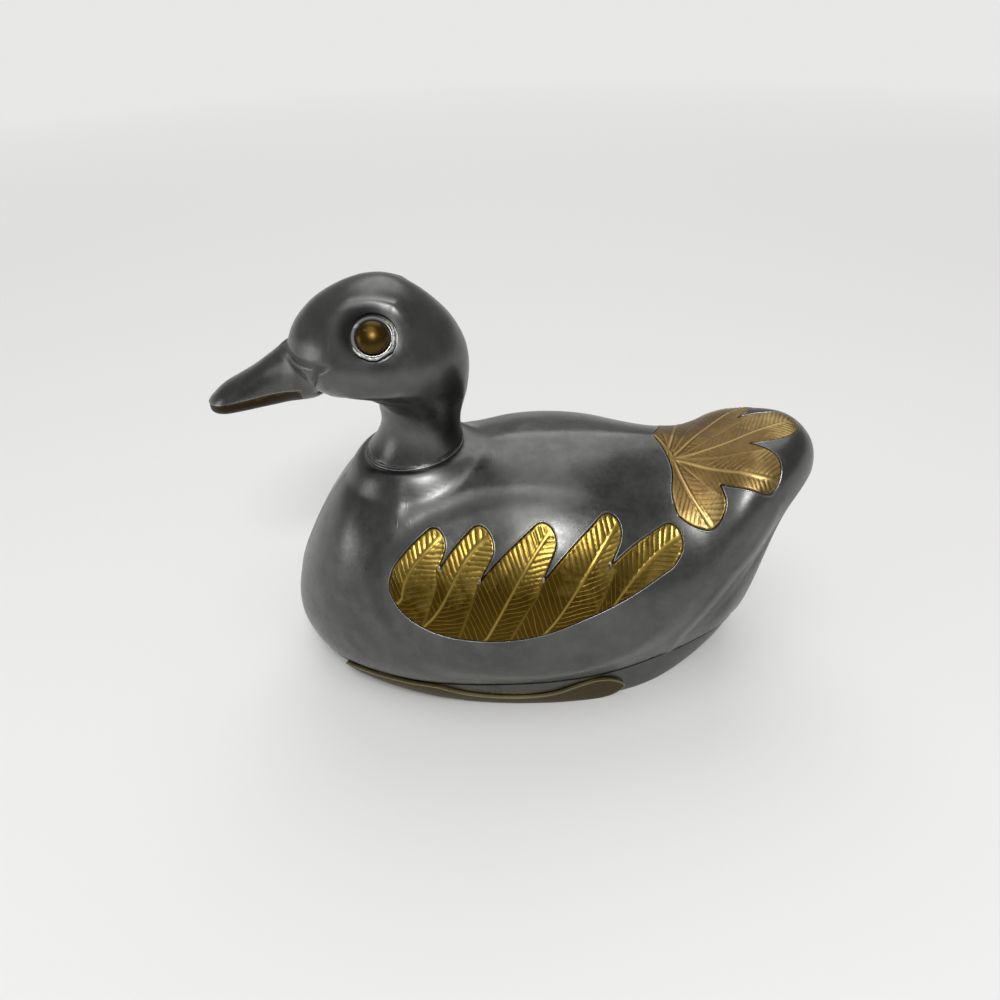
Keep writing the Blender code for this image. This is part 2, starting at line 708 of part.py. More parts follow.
def neck_seat():
    return Vector((NECK_X, 0, seat_height(NECK_X)))


def cylinder(radius, foot, height):
    """Closed upright cylinder standing on a point."""
    turns = [2 * math.pi * k / BORE_POINTS for k in range(BORE_POINTS)]
    circle = [Vector((radius * math.cos(t), radius * math.sin(t), 0)) for t in turns]
    top = foot + Vector((0, 0, height))
    return loft([[foot + point for point in circle], [top + point for point in circle]])


def lean_at(x):
    """How much higher the leaning neck joint is at x than at the neck's axis."""
    return math.tan(NECK_LEAN) * (x - NECK_X)


def head_foot():
    """Height of the neck's underside on its axis."""
    return neck_seat().z + NECK_GAP


def head_ring(share):
    """Forward reach, back reach and half breadth of the head at a share of its height."""
    rise = math.asin(min(share, 1.0))
    columns = []
    for column in (1, 2, 3):
        knots = tuple((math.asin(row[0]), row[column]) for row in HEAD_RINGS)
        columns.append(smooth_value(knots, rise))
    return columns


def head_point(share, turn):
    """Point of the head's skin at a share of its height and an angle round it."""
    front, back, half = head_ring(share)
    middle, reach = (back - front) / 2, (back + front) / 2
    x = NECK_X + middle + reach * math.cos(turn)
    lean = lean_at(x) * (1 - smooth_step(share, 0, 0.35))
    return Vector((x, half * math.sin(turn), head_foot() + share * HEAD_HEIGHT + lean))


def head_mesh():
    """Head and neck above the foot bead, with the spigot that passes into the lid."""
    turns = [2 * math.pi * k / HEAD_ROUND_POINTS for k in range(HEAD_ROUND_POINTS)]
    spigot = [foot_point(t, SPIGOT_RADIUS, 0) for t in turns]
    spigot_end = neck_seat().z - LID_WALL - SPIGOT_REACH
    rings = [[Vector((point.x, point.y, spigot_end)) for point in spigot], spigot]
    inner = NECK_FOOT - FOOT_BEAD
    for reach, up in ((inner, 0.0), (NECK_FOOT, 0.6), (NECK_FOOT, 1.4), (inner, 2.2)):
        rings.append([foot_point(t, reach, up * FOOT_BEAD) for t in turns])
    first = math.asin(2.6 * FOOT_BEAD / HEAD_HEIGHT)
    for k in range(HEAD_RISE_POINTS):
        share = math.sin(first + (math.pi / 2 - first) * k / HEAD_RISE_POINTS)
        rings.append([head_point(share, t) for t in turns])
    rings.append([head_point(1.0, 0)])
    return loft(rings)


def foot_point(turn, reach, up):
    """Point on or above the leaning underside of the neck."""
    x, y = NECK_X + reach * math.cos(turn), reach * math.sin(turn)
    return Vector((x, y, head_foot() + up + lean_at(x)))


def bill_section(share):
    """Top, underside and half breadth of the bill at a share of its length from the tip."""
    knots = [tuple((math.sqrt(row[0]), row[k]) for row in BILL_SECTIONS) for k in (1, 2, 3)]
    top, under, half = [smooth_value(knot, math.sqrt(share)) for knot in knots]
    base = neck_seat().z + BILL_TIP_RISE
    return base + top * BILL_RISE, base - BILL_TIP_DROP + under * BILL_CHIN_RISE, half * BILL_HALF


def bill_mesh(set_in=0.0):
    """Whole bill as one closed form, its root buried in the head."""
    rings = []
    for k in range(BILL_ALONG_POINTS + 1):
        share = (k / BILL_ALONG_POINTS) ** 1.6
        top, under, half = bill_section(share)
        x = BILL_TIP_X + share * BILL_LENGTH
        middle = under + BILL_MIDDLE * (top - under)
        if k == 0:
            rings.append([Vector((x + set_in, 0, middle))])
            continue
        ring = []
        for j in range(BILL_ROUND_POINTS):
            turn = 2 * math.pi * j / BILL_ROUND_POINTS
            across, up = math.cos(turn), math.sin(turn)
            reach = top - middle if up > 0 else middle - under
            fullness = BILL_TOP_FULLNESS if up > 0 else BILL_UNDER_FULLNESS
            breadth = max(half - set_in, 0.3 * half)
            y = breadth * math.copysign(abs(across) ** (2 / BILL_SIDE_FULLNESS), across)
            z = middle + reach * math.copysign(abs(up) ** (2 / fullness), up)
            ring.append(Vector((x + set_in * (1 - share), y, z)))
        rings.append(ring)
    return loft(rings)


def mouth_block(gap, corner_gap):
    """Everything under the mouth line, from ahead of the tip to the corner of the mouth."""
    base = neck_seat().z
    slope = (MOUTH_CORNER_RISE - MOUTH_TIP_RISE) / MOUTH_LENGTH
    half = 3 * BILL_HALF
    rings = []
    for x in (BILL_TIP_X - CUTTER_PROUD, BILL_TIP_X + MOUTH_LENGTH - corner_gap):
        top = base + MOUTH_TIP_RISE + slope * (x - BILL_TIP_X) - gap
        low = base + BILL_TIP_RISE - BILL_TIP_DROP - 2 * CUTTER_PROUD
        ring = [(x, -half, low), (x, half, low), (x, half, top), (x, -half, top)]
        rings.append([Vector(point) for point in ring])
    return loft(rings)


def build_head():
    """Head casting with the upper bill, and the brass lower bill let in under it."""
    head = make_object("head_casting", head_mesh(), PEWTER)
    cut(head, make_object("bill_form", bill_mesh()), "UNION")
    cut(head, make_object("mouth_cut", mouth_block(0, 0)))
    lower = make_object("bill_lower", bill_mesh(LOWER_BILL_SET_IN), DARK_BRASS)
    cut(lower, make_object("mouth_block", mouth_block(MOUTH_GAP, MOUTH_GAP)), "INTERSECT")
    for side, flip in (("left", 1), ("right", -1)):
        build_eye(head, side, flip)


def cheek_point(x, z):
    """Point on the head's left cheek at x and height z."""
    share = (z - head_foot()) / HEAD_HEIGHT
    front, back, half = head_ring(share)
    middle, reach = (back - front) / 2, (back + front) / 2
    along = min(max((x - NECK_X - middle) / reach, -1.0), 1.0)
    return Vector((x, -half * math.sqrt(1 - along * along), z))


def turned(profile, frame):
    """Solid turned from (radius, height) pairs about the Z axis of a frame."""
    rings = []
    for radius, height in profile:
        if radius < 1e-9:
            rings.append([frame @ Vector((0, 0, height))])
            continue
        turns = [2 * math.pi * k / EYE_POINTS for k in range(EYE_POINTS)]
        rings.append([frame @ Vector((radius * math.cos(t), radius * math.sin(t), height))
                      for t in turns])
    return loft(rings)


def turned_ring(profile, frame):
    """Ring turned from a closed profile that stays clear of the axis."""
    mesh = bmesh.new()
    rows = []
    for k in range(EYE_POINTS):
        t = 2 * math.pi * k / EYE_POINTS
        rows.append([mesh.verts.new(frame @ Vector((r * math.cos(t), r * math.sin(t), h)))
                     for r, h in profile])
    for k, row in enumerate(rows):
        nxt = rows[(k + 1) % EYE_POINTS]
        for j in range(len(profile)):
            j2 = (j + 1) % len(profile)
            mesh.faces.new([row[j], nxt[j], nxt[j2], row[j2]])
    return mesh


def build_eye(head, side, flip):
    """Socket, pewter bezel and brass dome of one eye."""
    z = neck_seat().z + EYE_RISE
    place = cheek_point(EYE_X, z)
    normal = surface_normal(cheek_point, EYE_X, z)
    place.y, normal.y = place.y * flip, normal.y * flip
    frame = Matrix.Translation(place) @ normal.to_track_quat("Z", "X").to_matrix().to_4x4()
    hole = EYE_RADIUS + EYE_GAP
    outer = hole + BEZEL_WALL
    floor = -SOCKET_DEPTH + EYE_GAP
    wall = outer + EYE_GAP
    socket = [(0, -SOCKET_DEPTH), (wall, -SOCKET_DEPTH), (wall + SOCKET_FLARE, CUTTER_PROUD),
              (0, CUTTER_PROUD)]
    cut(head, make_object(f"eye_socket_{side}", turned(socket, frame)))
    ring = [(hole, floor), (outer, floor), (outer, 0.4 * BEZEL_STAND),
            (hole + 0.5 * BEZEL_WALL, BEZEL_STAND), (hole, 0.4 * BEZEL_STAND)]
    make_object(f"eye_bezel_{side}", turned_ring(ring, frame), PEWTER)
    dome = [(0, floor), (EYE_RADIUS, floor)]
    for k in range(6):
        angle = k / 5 * math.pi / 2
        dome.append((EYE_RADIUS * math.cos(angle), EYE_BULGE * math.sin(angle)))
    dome[-1] = (0, EYE_BULGE)
    make_object(f"eye_{side}", turned(dome, frame), BRASS)


def clear_scene():
    for thing in list(bpy.data.objects):
        bpy.data.objects.remove(thing, do_unlink=True)


def main():
    clear_scene()
    build_hull()
    build_lid()
    build_head()


main()
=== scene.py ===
import math

import bmesh
import bpy
import numpy as np
from mathutils import Matrix, Vector
from mathutils.geometry import delaunay_2d_cdt


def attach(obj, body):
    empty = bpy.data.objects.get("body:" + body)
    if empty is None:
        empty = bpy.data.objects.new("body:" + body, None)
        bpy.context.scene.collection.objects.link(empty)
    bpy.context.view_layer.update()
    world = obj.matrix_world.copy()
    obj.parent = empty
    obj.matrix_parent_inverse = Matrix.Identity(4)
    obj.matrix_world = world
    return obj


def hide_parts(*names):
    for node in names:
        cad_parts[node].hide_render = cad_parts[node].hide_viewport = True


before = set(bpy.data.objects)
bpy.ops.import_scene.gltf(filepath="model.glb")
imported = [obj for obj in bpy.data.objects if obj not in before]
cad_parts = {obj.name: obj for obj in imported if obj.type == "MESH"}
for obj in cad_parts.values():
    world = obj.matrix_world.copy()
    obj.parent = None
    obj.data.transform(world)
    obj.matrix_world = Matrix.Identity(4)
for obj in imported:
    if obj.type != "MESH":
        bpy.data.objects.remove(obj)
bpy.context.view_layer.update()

# Lengths below are in millimetres, in the row frame: the duck faces -X, and Y = 0 is its
# mirror plane
MM = 0.001

BREAST_X, BODY_LENGTH, BODY_WIDTH, BACK_HEIGHT, LID_WALL = -57.6, 127.0, 70.6, 61.0, 2.5
TAIL_X = BREAST_X + BODY_LENGTH
SHOULDER_RISE, SHOULDER_LENGTH, SHOULDER_HEIGHT = 1.0, 76.0, 45.0
SHOULDER_X, SHOULDER_Z = 4.0, 36.0
RIM_HEIGHT, SEAM_GAP, HULL_SET_IN, HULL_WALL = 10.0, 0.3, 0.3, 2.2
FLOOR_FRONT_SET_IN, FLOOR_BACK_SET_IN, FLOOR_SIDE_SET_IN = 21.4, 11.0, 3.9
FLOOR_FULLNESS, BILGE_FULLNESS = 2.35, 1.55
LIP_HEIGHT, LIP_WALL, LIP_TAPER, LIP_CLEARANCE = 3.5, 1.4, 0.3, 0.8
FLANK_LEAN = math.radians(47)
NECK_X, NECK_FOOT, NECK_WAIST, NECK_LEAN = -24.0, 11.6, 9.3, math.radians(5)
SEAT_RISE, SEAT_LEDGE, SEAT_BLEND, NECK_GAP = 0.4, 0.1, 5.5, 0.3
SPIGOT_RADIUS, SPIGOT_REACH, SPIGOT_CLEARANCE = 7.6, 1.2, 0.3
HEAD_HEIGHT, HEAD_FRONT, HEAD_BACK, HEAD_HALF, CROWN_SET = 40.3, 24.8, 13.8, 16.2, 4.5
BILL_LENGTH, BILL_TIP_X, BILL_TIP_RISE, BILL_TIP_DROP = 29.6, -69.6, 11.9, 1.1
BILL_RISE, BILL_CHIN_RISE, BILL_HALF, BILL_MIDDLE = 18.6, 3.8, 6.0, 0.42
BILL_TOP_FULLNESS, BILL_UNDER_FULLNESS, BILL_SIDE_FULLNESS = 1.9, 2.6, 2.3
MOUTH_LENGTH, MOUTH_TIP_RISE, MOUTH_CORNER_RISE = 23.5, 12.9, 18.8
EYE_RADIUS, EYE_BULGE, EYE_X, EYE_RISE = 3.3, 2.0, -28.2, 33.1
INLAY_THICKNESS, INLAY_GAP, INLAY_BED = 0.9, 0.3, 0.4
WING_START, WING_SIZE, FEATHER_TIP = (BREAST_X + 28.6, 28.7), (65.0, 24.0), 2.88
FAN_START, FAN_SIZE = (TAIL_X - 37.8, 0.0), (33.7, 0.584 * BODY_WIDTH / 2)
FAN_TIP = 0.175 * FAN_SIZE[1]
BELLY_SET_BACK, BELLY_LENGTH, FEATHER_BOW = 13.9, 70.0, 0.05
SIDES = (("left", 1), ("right", -1))

# How much wider than its solid each plate is, so that a thin dark line is left round it
PLATE_FIT = 0.19
# Spacing of the points of the plates and cutters, and the rounding of the plates' edges
PLATE_GRID, BLOCK_GRID, PLATE_INSETS, PLATE_ROUND = 0.21, 3.0, (0.07, 0.17, 0.32), 0.32
FLOOR_CLEARANCE = 0.02
EYE_SINK, EYE_DEPTH, EYE_GROWTH, BEZEL_GAP, BEZEL_REACH = 0.35, 1.3, 0.1, 0.22, 0.95
SOCKET = ((5.0, -1.6), (5.1, -0.3), (5.6, 2.0))
# The hollow in front of each eye, the painted shade in it and the dish round the eye: the middle
# as seen from the eye's, and the reach
EYE_HOLLOW, EYE_HOLLOW_REACH, EYE_HOLLOW_DEPTH = (-2.3, 0, 1.5), 4.3, 1.05
EYE_DISH_REACH, EYE_DISH_DEPTH = 5.3, 0.2
EYE_SHADE, EYE_SHADE_REACH = (-2.1, 0, 1.5), 6.5
HEAD_VOXEL, QUICK_VOXEL = 0.3, 0.6
# Barbs of the engraved feathers; the flutes fade to fine lines away from the tip
WING_BARBS = {"leans": (1.1, 0.65), "pitch": 1.36, "flute": 0.22, "reach": 12.0}
FAN_BARBS = {"leans": (0.85, 0.85), "pitch": 1.2, "flute": 0.12, "reach": 8.0}
FINE_LINE, SEAM_LINE, SEAM_LINE_WIDTH = 0.03, 0.06, 0.22
# Profiles as (outwards, upwards): the casting's edge round a plate, and the neck's foot
CAST_LIP = ((0.0, -0.6), (0.0, -0.06), (0.05, 0.03), (0.13, 0.045), (0.24, 0.02), (0.34, -0.05),
            (0.3, -0.6))
NECK_BEADS = ((0, -0.29), (0.03, -0.1), (-0.02, 0.08), (-0.18, 0.18), (-0.36, 0.17),
              (-0.42, 0.24), (-0.40, 0.36), (-0.48, 0.50), (-0.66, 0.58), (-1.1, 0.62),
              (-3.2, 0.5))
SEAM_TUCK, SEAM_TUCK_RISE = 0.22, 0.9
# Painted shade under the tail: its middle and reach, as (x, distance from Y = 0, z)
UNDER_TAIL_SHADE, UNDER_TAIL_SHADE_REACH = (47.0, 19.0, 27.0), (6.5, 9.0, 15.0)
# Cutters: how far the box under the seam and the block under the mouth reach
SEAM_CUT, MOUTH_CUT = (90, 60, 80), (2, 18, 4)
SQUARE = ((-1, -1), (1, -1), (1, 1), (-1, 1))
# The head's skin starts just above its foot, and a narrower ring closes it below
HEAD_FIRST, HEAD_CLOSE, HEAD_CLOSE_DROP = 0.012, 0.7, 0.1
# How many points along and round
LID_STEPS, CAVITY_STEPS, HULL_STEPS, HEAD_STEPS = (300, 264), (110, 96), 320, (150, 180)

RIDGE = (
    (0, 0.27), (0.012, 0.4), (0.042, 0.55), (0.09, 0.73), (0.145, 0.872), (0.205, 0.933),
    (0.3, 0.962), (0.38, 0.973), (0.455, 0.99), (0.57, 0.993), (0.7, 0.976), (0.8, 0.966),
    (0.9, 1.008), (0.955, 1.016), (0.983, 0.975), (1, 0.86),
)
KEEL = (
    (0, 0.27), (0.017, 0.15), (0.06, 0.033), (0.118, -0.05), (0.22, -0.082), (0.455, -0.095),
    (0.65, -0.09), (0.79, -0.058), (0.877, 0.033), (0.897, 0.1), (0.9065, 0.23), (0.918, 0.41),
    (0.94, 0.645), (0.965, 0.775), (1, 0.86),
)
BEAM = (
    (0, 0), (0.012, 0.263), (0.044, 0.462), (0.09, 0.632), (0.159, 0.793), (0.26, 0.935),
    (0.392, 1), (0.517, 1), (0.626, 0.935), (0.735, 0.8), (0.844, 0.635), (0.922, 0.435),
    (0.969, 0.265), (1, 0),
)
WAIST = (
    (0, 0.27), (0.09, 0.288), (0.22, 0.345), (0.455, 0.411), (0.65, 0.46), (0.766, 0.551),
    (0.86, 0.69), (0.922, 0.79), (0.969, 0.845), (1, 0.86),
)
BACK_FULLNESS = (
    (0, 2), (0.22, 2), (0.345, 1.85), (0.455, 2), (0.58, 1.95), (0.657, 1.72), (0.727, 1.6),
    (0.797, 1.9), (0.845, 2.6), (0.907, 2.8), (0.97, 2.4), (1, 2.1),
)
BELLY_FULLNESS = ((0, 2), (0.61, 2), (0.805, 1.85), (0.907, 1.65), (1, 1.7))
# Rings of the neck and head: height share, then reach forwards, backwards and sideways
HEAD_RINGS = [(rise, front * sizes[0], rear * sizes[1], half * sizes[2]) for sizes, rows in (
    ((NECK_FOOT,) * 3, ((0, 1, 1, 1), (0.06, 0.81, 0.96, 0.9))),
    ((NECK_WAIST,) * 3, ((0.18, 0.75, 1.21, 1), (0.27, 0.75, 1.3, 1.04))),
    ((HEAD_FRONT, HEAD_BACK, HEAD_HALF), (
        (0.345, 0.31, 0.94, 0.66), (0.42, 0.5, 0.98, 0.77), (0.495, 0.86, 1, 0.91),
        (0.6, 1, 0.97, 1), (0.725, 0.96, 0.81, 0.945), (0.85, 0.8, 0.5, 0.74),
        (0.95, 0.535, 0.13, 0.43))),
) for rise, front, rear, half in rows] + [(1, CROWN_SET, -CROWN_SET, 0)]
BILL_SECTIONS = (
    (0, 0.03, 0.2, 0), (0.037, 0.12, -0.05, 0.5), (0.15, 0.263, -0.05, 0.9),
    (0.267, 0.365, 0.1, 0.98), (0.4, 0.485, 0.29, 1), (0.533, 0.63, 0.47, 1),
    (0.667, 0.78, 0.71, 1.12), (0.8, 0.89, 0.95, 1.38), (0.9, 0.95, 1.2, 1.54), (1, 1, 1.6, 1.4),
)
WING_TIPS = (
    (0.158, 0.795, 0.85), (0.314, 0.818, 0.99), (0.522, 0.879, 0.97), (0.735, 0.871, 1.11),
    (0.948, 0.7, 1.14),
)
WING_NOTCHES = (
    (0.017, 0.592), (0.151, 0.52), (0.28, 0.445), (0.503, 0.535), (0.735, 0.632), (0.965, 0.542),
)
WING_FOOT = (
    (0.834, 0.4), (0.663, 0.25), (0.509, 0.11), (0.298, 0.035), (0.148, 0.09), (0.042, 0.25),
    (0.001, 0.43),
)
FAN_TIPS = ((0.312, 0.85, 0.89), (0.635, 0.62, 1.3), (0.807, 0, 1.58))
FAN_NOTCHES = ((0.11, 0.874), (0.38, 0.66), (0.6, 0.255))
FAN_ROOT = ((0.062, 0.223), (0.098, 0.45), (0.086, 0.748))
BELLY_EDGE = (
    (-0.03, 0.15), (0, 0.08), (0.08, 0.06), (0.2, 0.07), (0.31, 0.11), (0.38, 0.27), (0.48, 0.39),
    (0.61, 0.42), (0.71, 0.34), (0.8, 0.19), (0.86, 0.14), (0.91, 0.22), (0.955, 0.48),
    (0.91, 0.68), (0.7, 0.73), (0.3, 0.73), (0.08, 0.68), (-0.02, 0.5),
)

# Midribs of the engraved feathers, from tip to root: (x, z) on the wing, (x, y) on the tail
WING_RIBS = (
    ((-17, 49.5), (-18.8, 47.9), (-21.2, 46), (-24.1, 42.9), (-25.8, 39.3)),
    ((-6.7, 49.8), (-8.7, 48.7), (-11.2, 46.4), (-13.1, 43.7), (-14.9, 40.6), (-17.6, 36.7),
     (-19.8, 33.5)),
    ((7.1, 52), (5.8, 50.6), (3.3, 48.1), (1.2, 45.4), (-0.8, 42.3), (-3.4, 38), (-6.6, 32)),
    ((21.6, 51.4), (19.3, 49.1), (17.2, 47.1), (15.1, 45.1), (13.1, 42.3), (11, 39.3), (8, 35.4)),
    ((35.6, 46.7), (32.9, 45.8), (29.1, 44), (25.4, 41.9), (22.8, 39.3), (20.7, 37.3)),
)
# Lines between neighbouring wing feathers, as (x, z) from the foot upwards
WING_BOUNDS = (
    ((-25, 26), (-21.7, 32.2), (-19.7, 37), (-18.2, 40.8), (-18.4, 43.6), (-13.9, 48), (-10, 53)),
    ((-16, 26), (-13.6, 30.2), (-11.8, 34.7), (-10.2, 38.8), (-9.4, 41.7), (-2.2, 48.5), (2, 53)),
    ((-4.5, 26), (-1, 32.8), (1.5, 37.2), (3.6, 40.1), (4.8, 43.4), (11.5, 49.5), (15, 53)),
    ((13, 30), (17.9, 38.3), (19.1, 40.9), (20.6, 43.6), (19.4, 44.9), (25.5, 48.5), (31, 53)),
)
FAN_RIBS = (
    ((42.9, -21.5), (42.4, -20.4), (41.2, -18.9), (39.1, -16.3), (37.3, -12.2), (35.5, -7.5)),
    ((58, -15.4), (56.7, -15.5), (53.7, -15.3), (49.8, -13.5), (45.8, -11.5), (41, -9.2),
     (35.7, -7.2)),
    ((62.4, 0.3), (59.2, -0.3), (54.5, -2), (51.8, -2.4), (47.1, -4.2), (42.3, -5.1), (35.7, -7)),
    ((57.5, 12.2), (55.8, 11), (51.5, 9.2), (46.2, 6.1), (41.3, -0.8), (35.4, -6.4)),
    ((43.5, 20.5), (42.6, 18.6), (40.2, 12.8), (37.6, 4.5), (34.6, -4.5)),
)

# Soft ridges and hollows of the lid: height, width, then (x, distance from Y = 0, z, share)
LID_RELIEF = (
    (0.26, 1.6, ((-31.3, 23.9, 44, 0), (-28.7, 22, 47.5, 0.5), (-25.1, 20, 50.4, 1),
     (-21.1, 18.2, 52.3, 1), (-16.3, 17.1, 53.9, 1), (-11.5, 15.6, 55, 0.9),
     (-5.9, 15.3, 56.2, 0.6), (0.4, 15.7, 57, 0.4), (6.7, 16.2, 57, 0.3), (13, 16.5, 56.6, 0.2),
     (22, 16, 55, 0))),
    (-0.44, 2.5, ((-22, 34, 22.5, 0), (-29, 31.3, 28.5, 0.6), (-31.5, 28.6, 34.5, 0.9),
     (-32, 26.8, 39, 1), (-31, 25.9, 41.4, 1), (-28.7, 23.7, 45.8, 1), (-25, 21.7, 49.1, 1),
     (-20.2, 19.6, 51.4, 1), (-14.7, 18.3, 53.2, 1), (-9.1, 17.4, 54.4, 0.7),
     (-1.2, 18, 55.6, 0.45), (6.6, 18.6, 55.9, 0.35), (14, 18.5, 55.4, 0.2), (24, 18, 53.5, 0))),
    (0.34, 1.5, ((60, 14.5, 53, 0), (57.8, 16.6, 50.1, 0.6), (55.8, 18.3, 45.4, 1),
     (52.8, 20.3, 40.8, 1), (48.9, 22.6, 36.5, 1), (46, 23.8, 32.2, 1), (42.4, 24.9, 26.5, 1),
     (38, 25.5, 20.1, 1), (36, 22.5, 10.7, 0.8))),
    (-0.3, 2, ((62, 13, 50, 0), (59, 15, 44, 1), (55.5, 17.5, 38, 1), (51, 19.5, 31, 1),
     (46.5, 20.5, 24, 1), (42.5, 19.5, 14, 0.5))),
    (0.22, 2.4, ((-10, 0, 59.4, 0), (-2, 0, 60.2, 1), (25, 0, 59.6, 1), (34, 0, 59, 0))),
    (0.3, 1.5, ((-37.5, 0, 57, 0), (-41, 0, 53.5, 1), (-47, 0, 46, 1), (-52.5, 0, 35, 1),
     (-56, 0, 25, 1), (-57.3, 0, 17, 0.4), (-55.5, 0, 9, 0))),
    (0.3, 1.6, ((-27, 12.5, 57.5, 0), (-26.8, 15, 55.1, 0.8), (-26.8, 17.5, 52, 1),
     (-29, 20.2, 47.5, 0.5), (-33, 22, 42, 0))),
)
# Where the bill meets the cheek, as (x, distance from Y = 0, z, share)
ROOT_LINE = (
    (-51.5, 0, 84.4, 0.5), (-49.2, 3.7, 84.5, 1), (-46.6, 8, 84.1, 1), (-44, 11, 83.2, 1),
    (-42.6, 11.6, 81, 1), (-42.6, 10.6, 78.8, 1), (-42.5, 8, 77.4, 1), (-42.5, 4, 76.8, 1),
    (-42.5, 0, 76.6, 1),
)
# Ridges and hollows of the head
HEAD_RELIEF = (
    (0.48, 1.05, ((-36.5, 8.5, 94.8, 0), (-33.3, 7.7, 96.4, 1), (-28.7, 7.6, 96.8, 1),
     (-24.2, 7.4, 95.8, 1), (-21.8, 8.5, 93.8, 0.3), (-20.5, 10, 91, 0))),
    (-0.42, 0.6, ((-49.9, 0, 85.2, 0.8), (-48.3, 3.7, 85.9, 1), (-46.9, 7, 85.8, 1),
     (-45.7, 9, 85.6, 1), (-43.7, 11.1, 85.5, 1), (-41.8, 12.6, 85.6, 1), (-40.1, 13.6, 85.8, 0.9),
     (-38.4, 14.4, 85.9, 0.5), (-36.8, 15, 86.2, 0))),
    (0.17, 0.9, ((-50.6, 0, 84.2, 0.8), (-49.2, 3.7, 84.6, 1), (-47.8, 7, 84.4, 1),
     (-46.3, 9, 84.2, 1), (-44.3, 11, 84.1, 1), (-42.6, 12.2, 83.6, 0.8))),
    (-0.45, 0.6, ((-38.2, 14.5, 85.7, 0.3), (-39.4, 14, 85.2, 1), (-40.5, 13.5, 84.3, 1),
     (-41.3, 12.7, 82.7, 1), (-42.3, 10.8, 80.3, 0.9), (-42.3, 10.7, 78.9, 0.6),
     (-42, 10.5, 77.7, 0.1))),
    (0.18, 0.8, ((-42.3, 12.6, 83.4, 0), (-42.9, 11.8, 82, 1), (-43.6, 10.4, 80, 1),
     (-43.6, 10, 78.4, 0.6))),
    (0.16, 0.8, ((-38.6, 14.4, 84.2, 0), (-39.6, 13.4, 82.2, 1), (-40.5, 12, 79.6, 1),
     (-40.5, 11.4, 78.2, 0.5))),
    (0.55, 2, ((-41.2, 11.9, 82.6, 0), (-40.6, 11.6, 80.5, 1), (-40.2, 10.8, 78.6, 1),
     (-38, 11.5, 77.9, 0.6), (-35, 12.5, 78, 0))),
    (0.5, 1.6, ((-44, 5, 78.2, 0), (-41.5, 8.5, 77.5, 1), (-38.5, 10.8, 77.8, 1),
     (-35, 12, 78.2, 0))),
    (0.32, 1.1, ((-39.5, 10.5, 77.6, 0), (-35, 13.1, 78.8, 1), (-29.7, 14.7, 79.4, 1),
     (-24.2, 14.5, 79.4, 1), (-20, 12.6, 78, 0))),
    (-0.3, 1.2, ((-34, 9.5, 76.6, 0), (-30, 11.5, 76.8, 1), (-24.2, 12, 76.8, 1),
     (-20, 11, 75.5, 0))),
)


def curve_value(knots, at):
    """Smooth curve through (position, value) knots, at an array of positions."""
    place, value = np.array(knots, float).T
    span = np.diff(place)
    chord = np.diff(value) / span
    slope = np.concatenate((chord[:1], (chord[:-1] * span[1:] + chord[1:] * span[:-1])
                            / (span[1:] + span[:-1]), chord[-1:]))
    at = np.asarray(at, float)
    k = np.clip(np.searchsorted(place, at, side="left") - 1, 0, len(place) - 2)
    t = (at - place[k]) / span[k]
    return ((2 * t**3 - 3 * t**2 + 1) * value[k] + (t**3 - 2 * t**2 + t) * span[k] * slope[k]
            + (3 * t**2 - 2 * t**3) * value[k + 1] + (t**3 - t**2) * span[k] * slope[k + 1])


def soft(value, low, high):
    t = np.clip((np.asarray(value, float) - low) / (high - low), 0, 1)
    return t * t * (3 - 2 * t)


def signed_power(value, power):
    return np.sign(value) * np.abs(value) ** power


def stacked(x, y, z):
    """Points from their coordinates."""
    return np.stack(np.broadcast_arrays(x, y, z), -1)


def turned_table(table, scale):
    return tuple((math.acos(min(max(1 - 2 * s, -1.0), 1.0)), v * scale) for s, v in table)


LINES = [turned_table(table, scale) for table, scale in (
    (RIDGE, BACK_HEIGHT), (KEEL, BACK_HEIGHT), (BEAM, BODY_WIDTH / 2), (WAIST, BACK_HEIGHT),
    (BACK_FULLNESS, 1), (BELLY_FULLNESS, 1))]


def section(x):
    """Ridge, keel, beam, waist and the two fullnesses of the body at an array of x."""
    turn = np.arccos(np.clip(1 - 2 * (np.asarray(x, float) - BREAST_X) / BODY_LENGTH, -1, 1))
    return [curve_value(line, turn) for line in LINES]


def shoulder(x, z):
    along = (x - SHOULDER_X) / (SHOULDER_LENGTH / 2)
    up = (z - SHOULDER_Z) / (SHOULDER_HEIGHT / 2)
    return SHOULDER_RISE * (1 - soft(np.hypot(along, up), 0.8, 1.1))


def lean_at(x):
    return math.tan(NECK_LEAN) * (x - NECK_X)


NECK_SEAT = float(section(NECK_X)[0]) + SEAT_RISE
HEAD_FOOT = NECK_SEAT + NECK_GAP


def section_ring(shape, girth):
    ridge, keel, beam, waist, back, belly = shape
    across, up = np.cos(girth), np.sin(girth)
    full = np.where(up >= 0, back, belly)
    reach = np.where(up >= 0, ridge - waist, waist - keel)
    return beam * signed_power(across, 2 / full), waist + reach * signed_power(up, 2 / full)


def skin(x, girth):
    """Points of the body's smooth skin."""
    y, z = section_ring(section(x), girth)
    across = np.cos(girth)
    y = y + np.sign(across) * shoulder(x, z) * np.minimum(1, np.abs(across) * 4)
    ledge = NECK_FOOT + SEAT_LEDGE
    share = 1 - soft(np.hypot(x - NECK_X, y), ledge, ledge + SEAT_BLEND)
    lift = np.maximum(0, NECK_SEAT + lean_at(x) - z) * share
    z = np.where(np.mod(girth, 2 * math.pi) < math.pi, z + lift, z)
    return stacked(x, y, z)


def flank(x, z):
    """Points on the left flank, which faces -Y."""
    ridge, keel, beam, waist, back, belly = section(x)
    upper = z >= waist
    share = np.where(upper, (z - waist) / (ridge - waist), (waist - z) / (waist - keel))
    full = np.where(upper, back, belly)
    half = beam * np.maximum(0, 1 - np.clip(share, 0, 1) ** full) ** (1 / full) + shoulder(x, z)
    return stacked(x, -half, z)


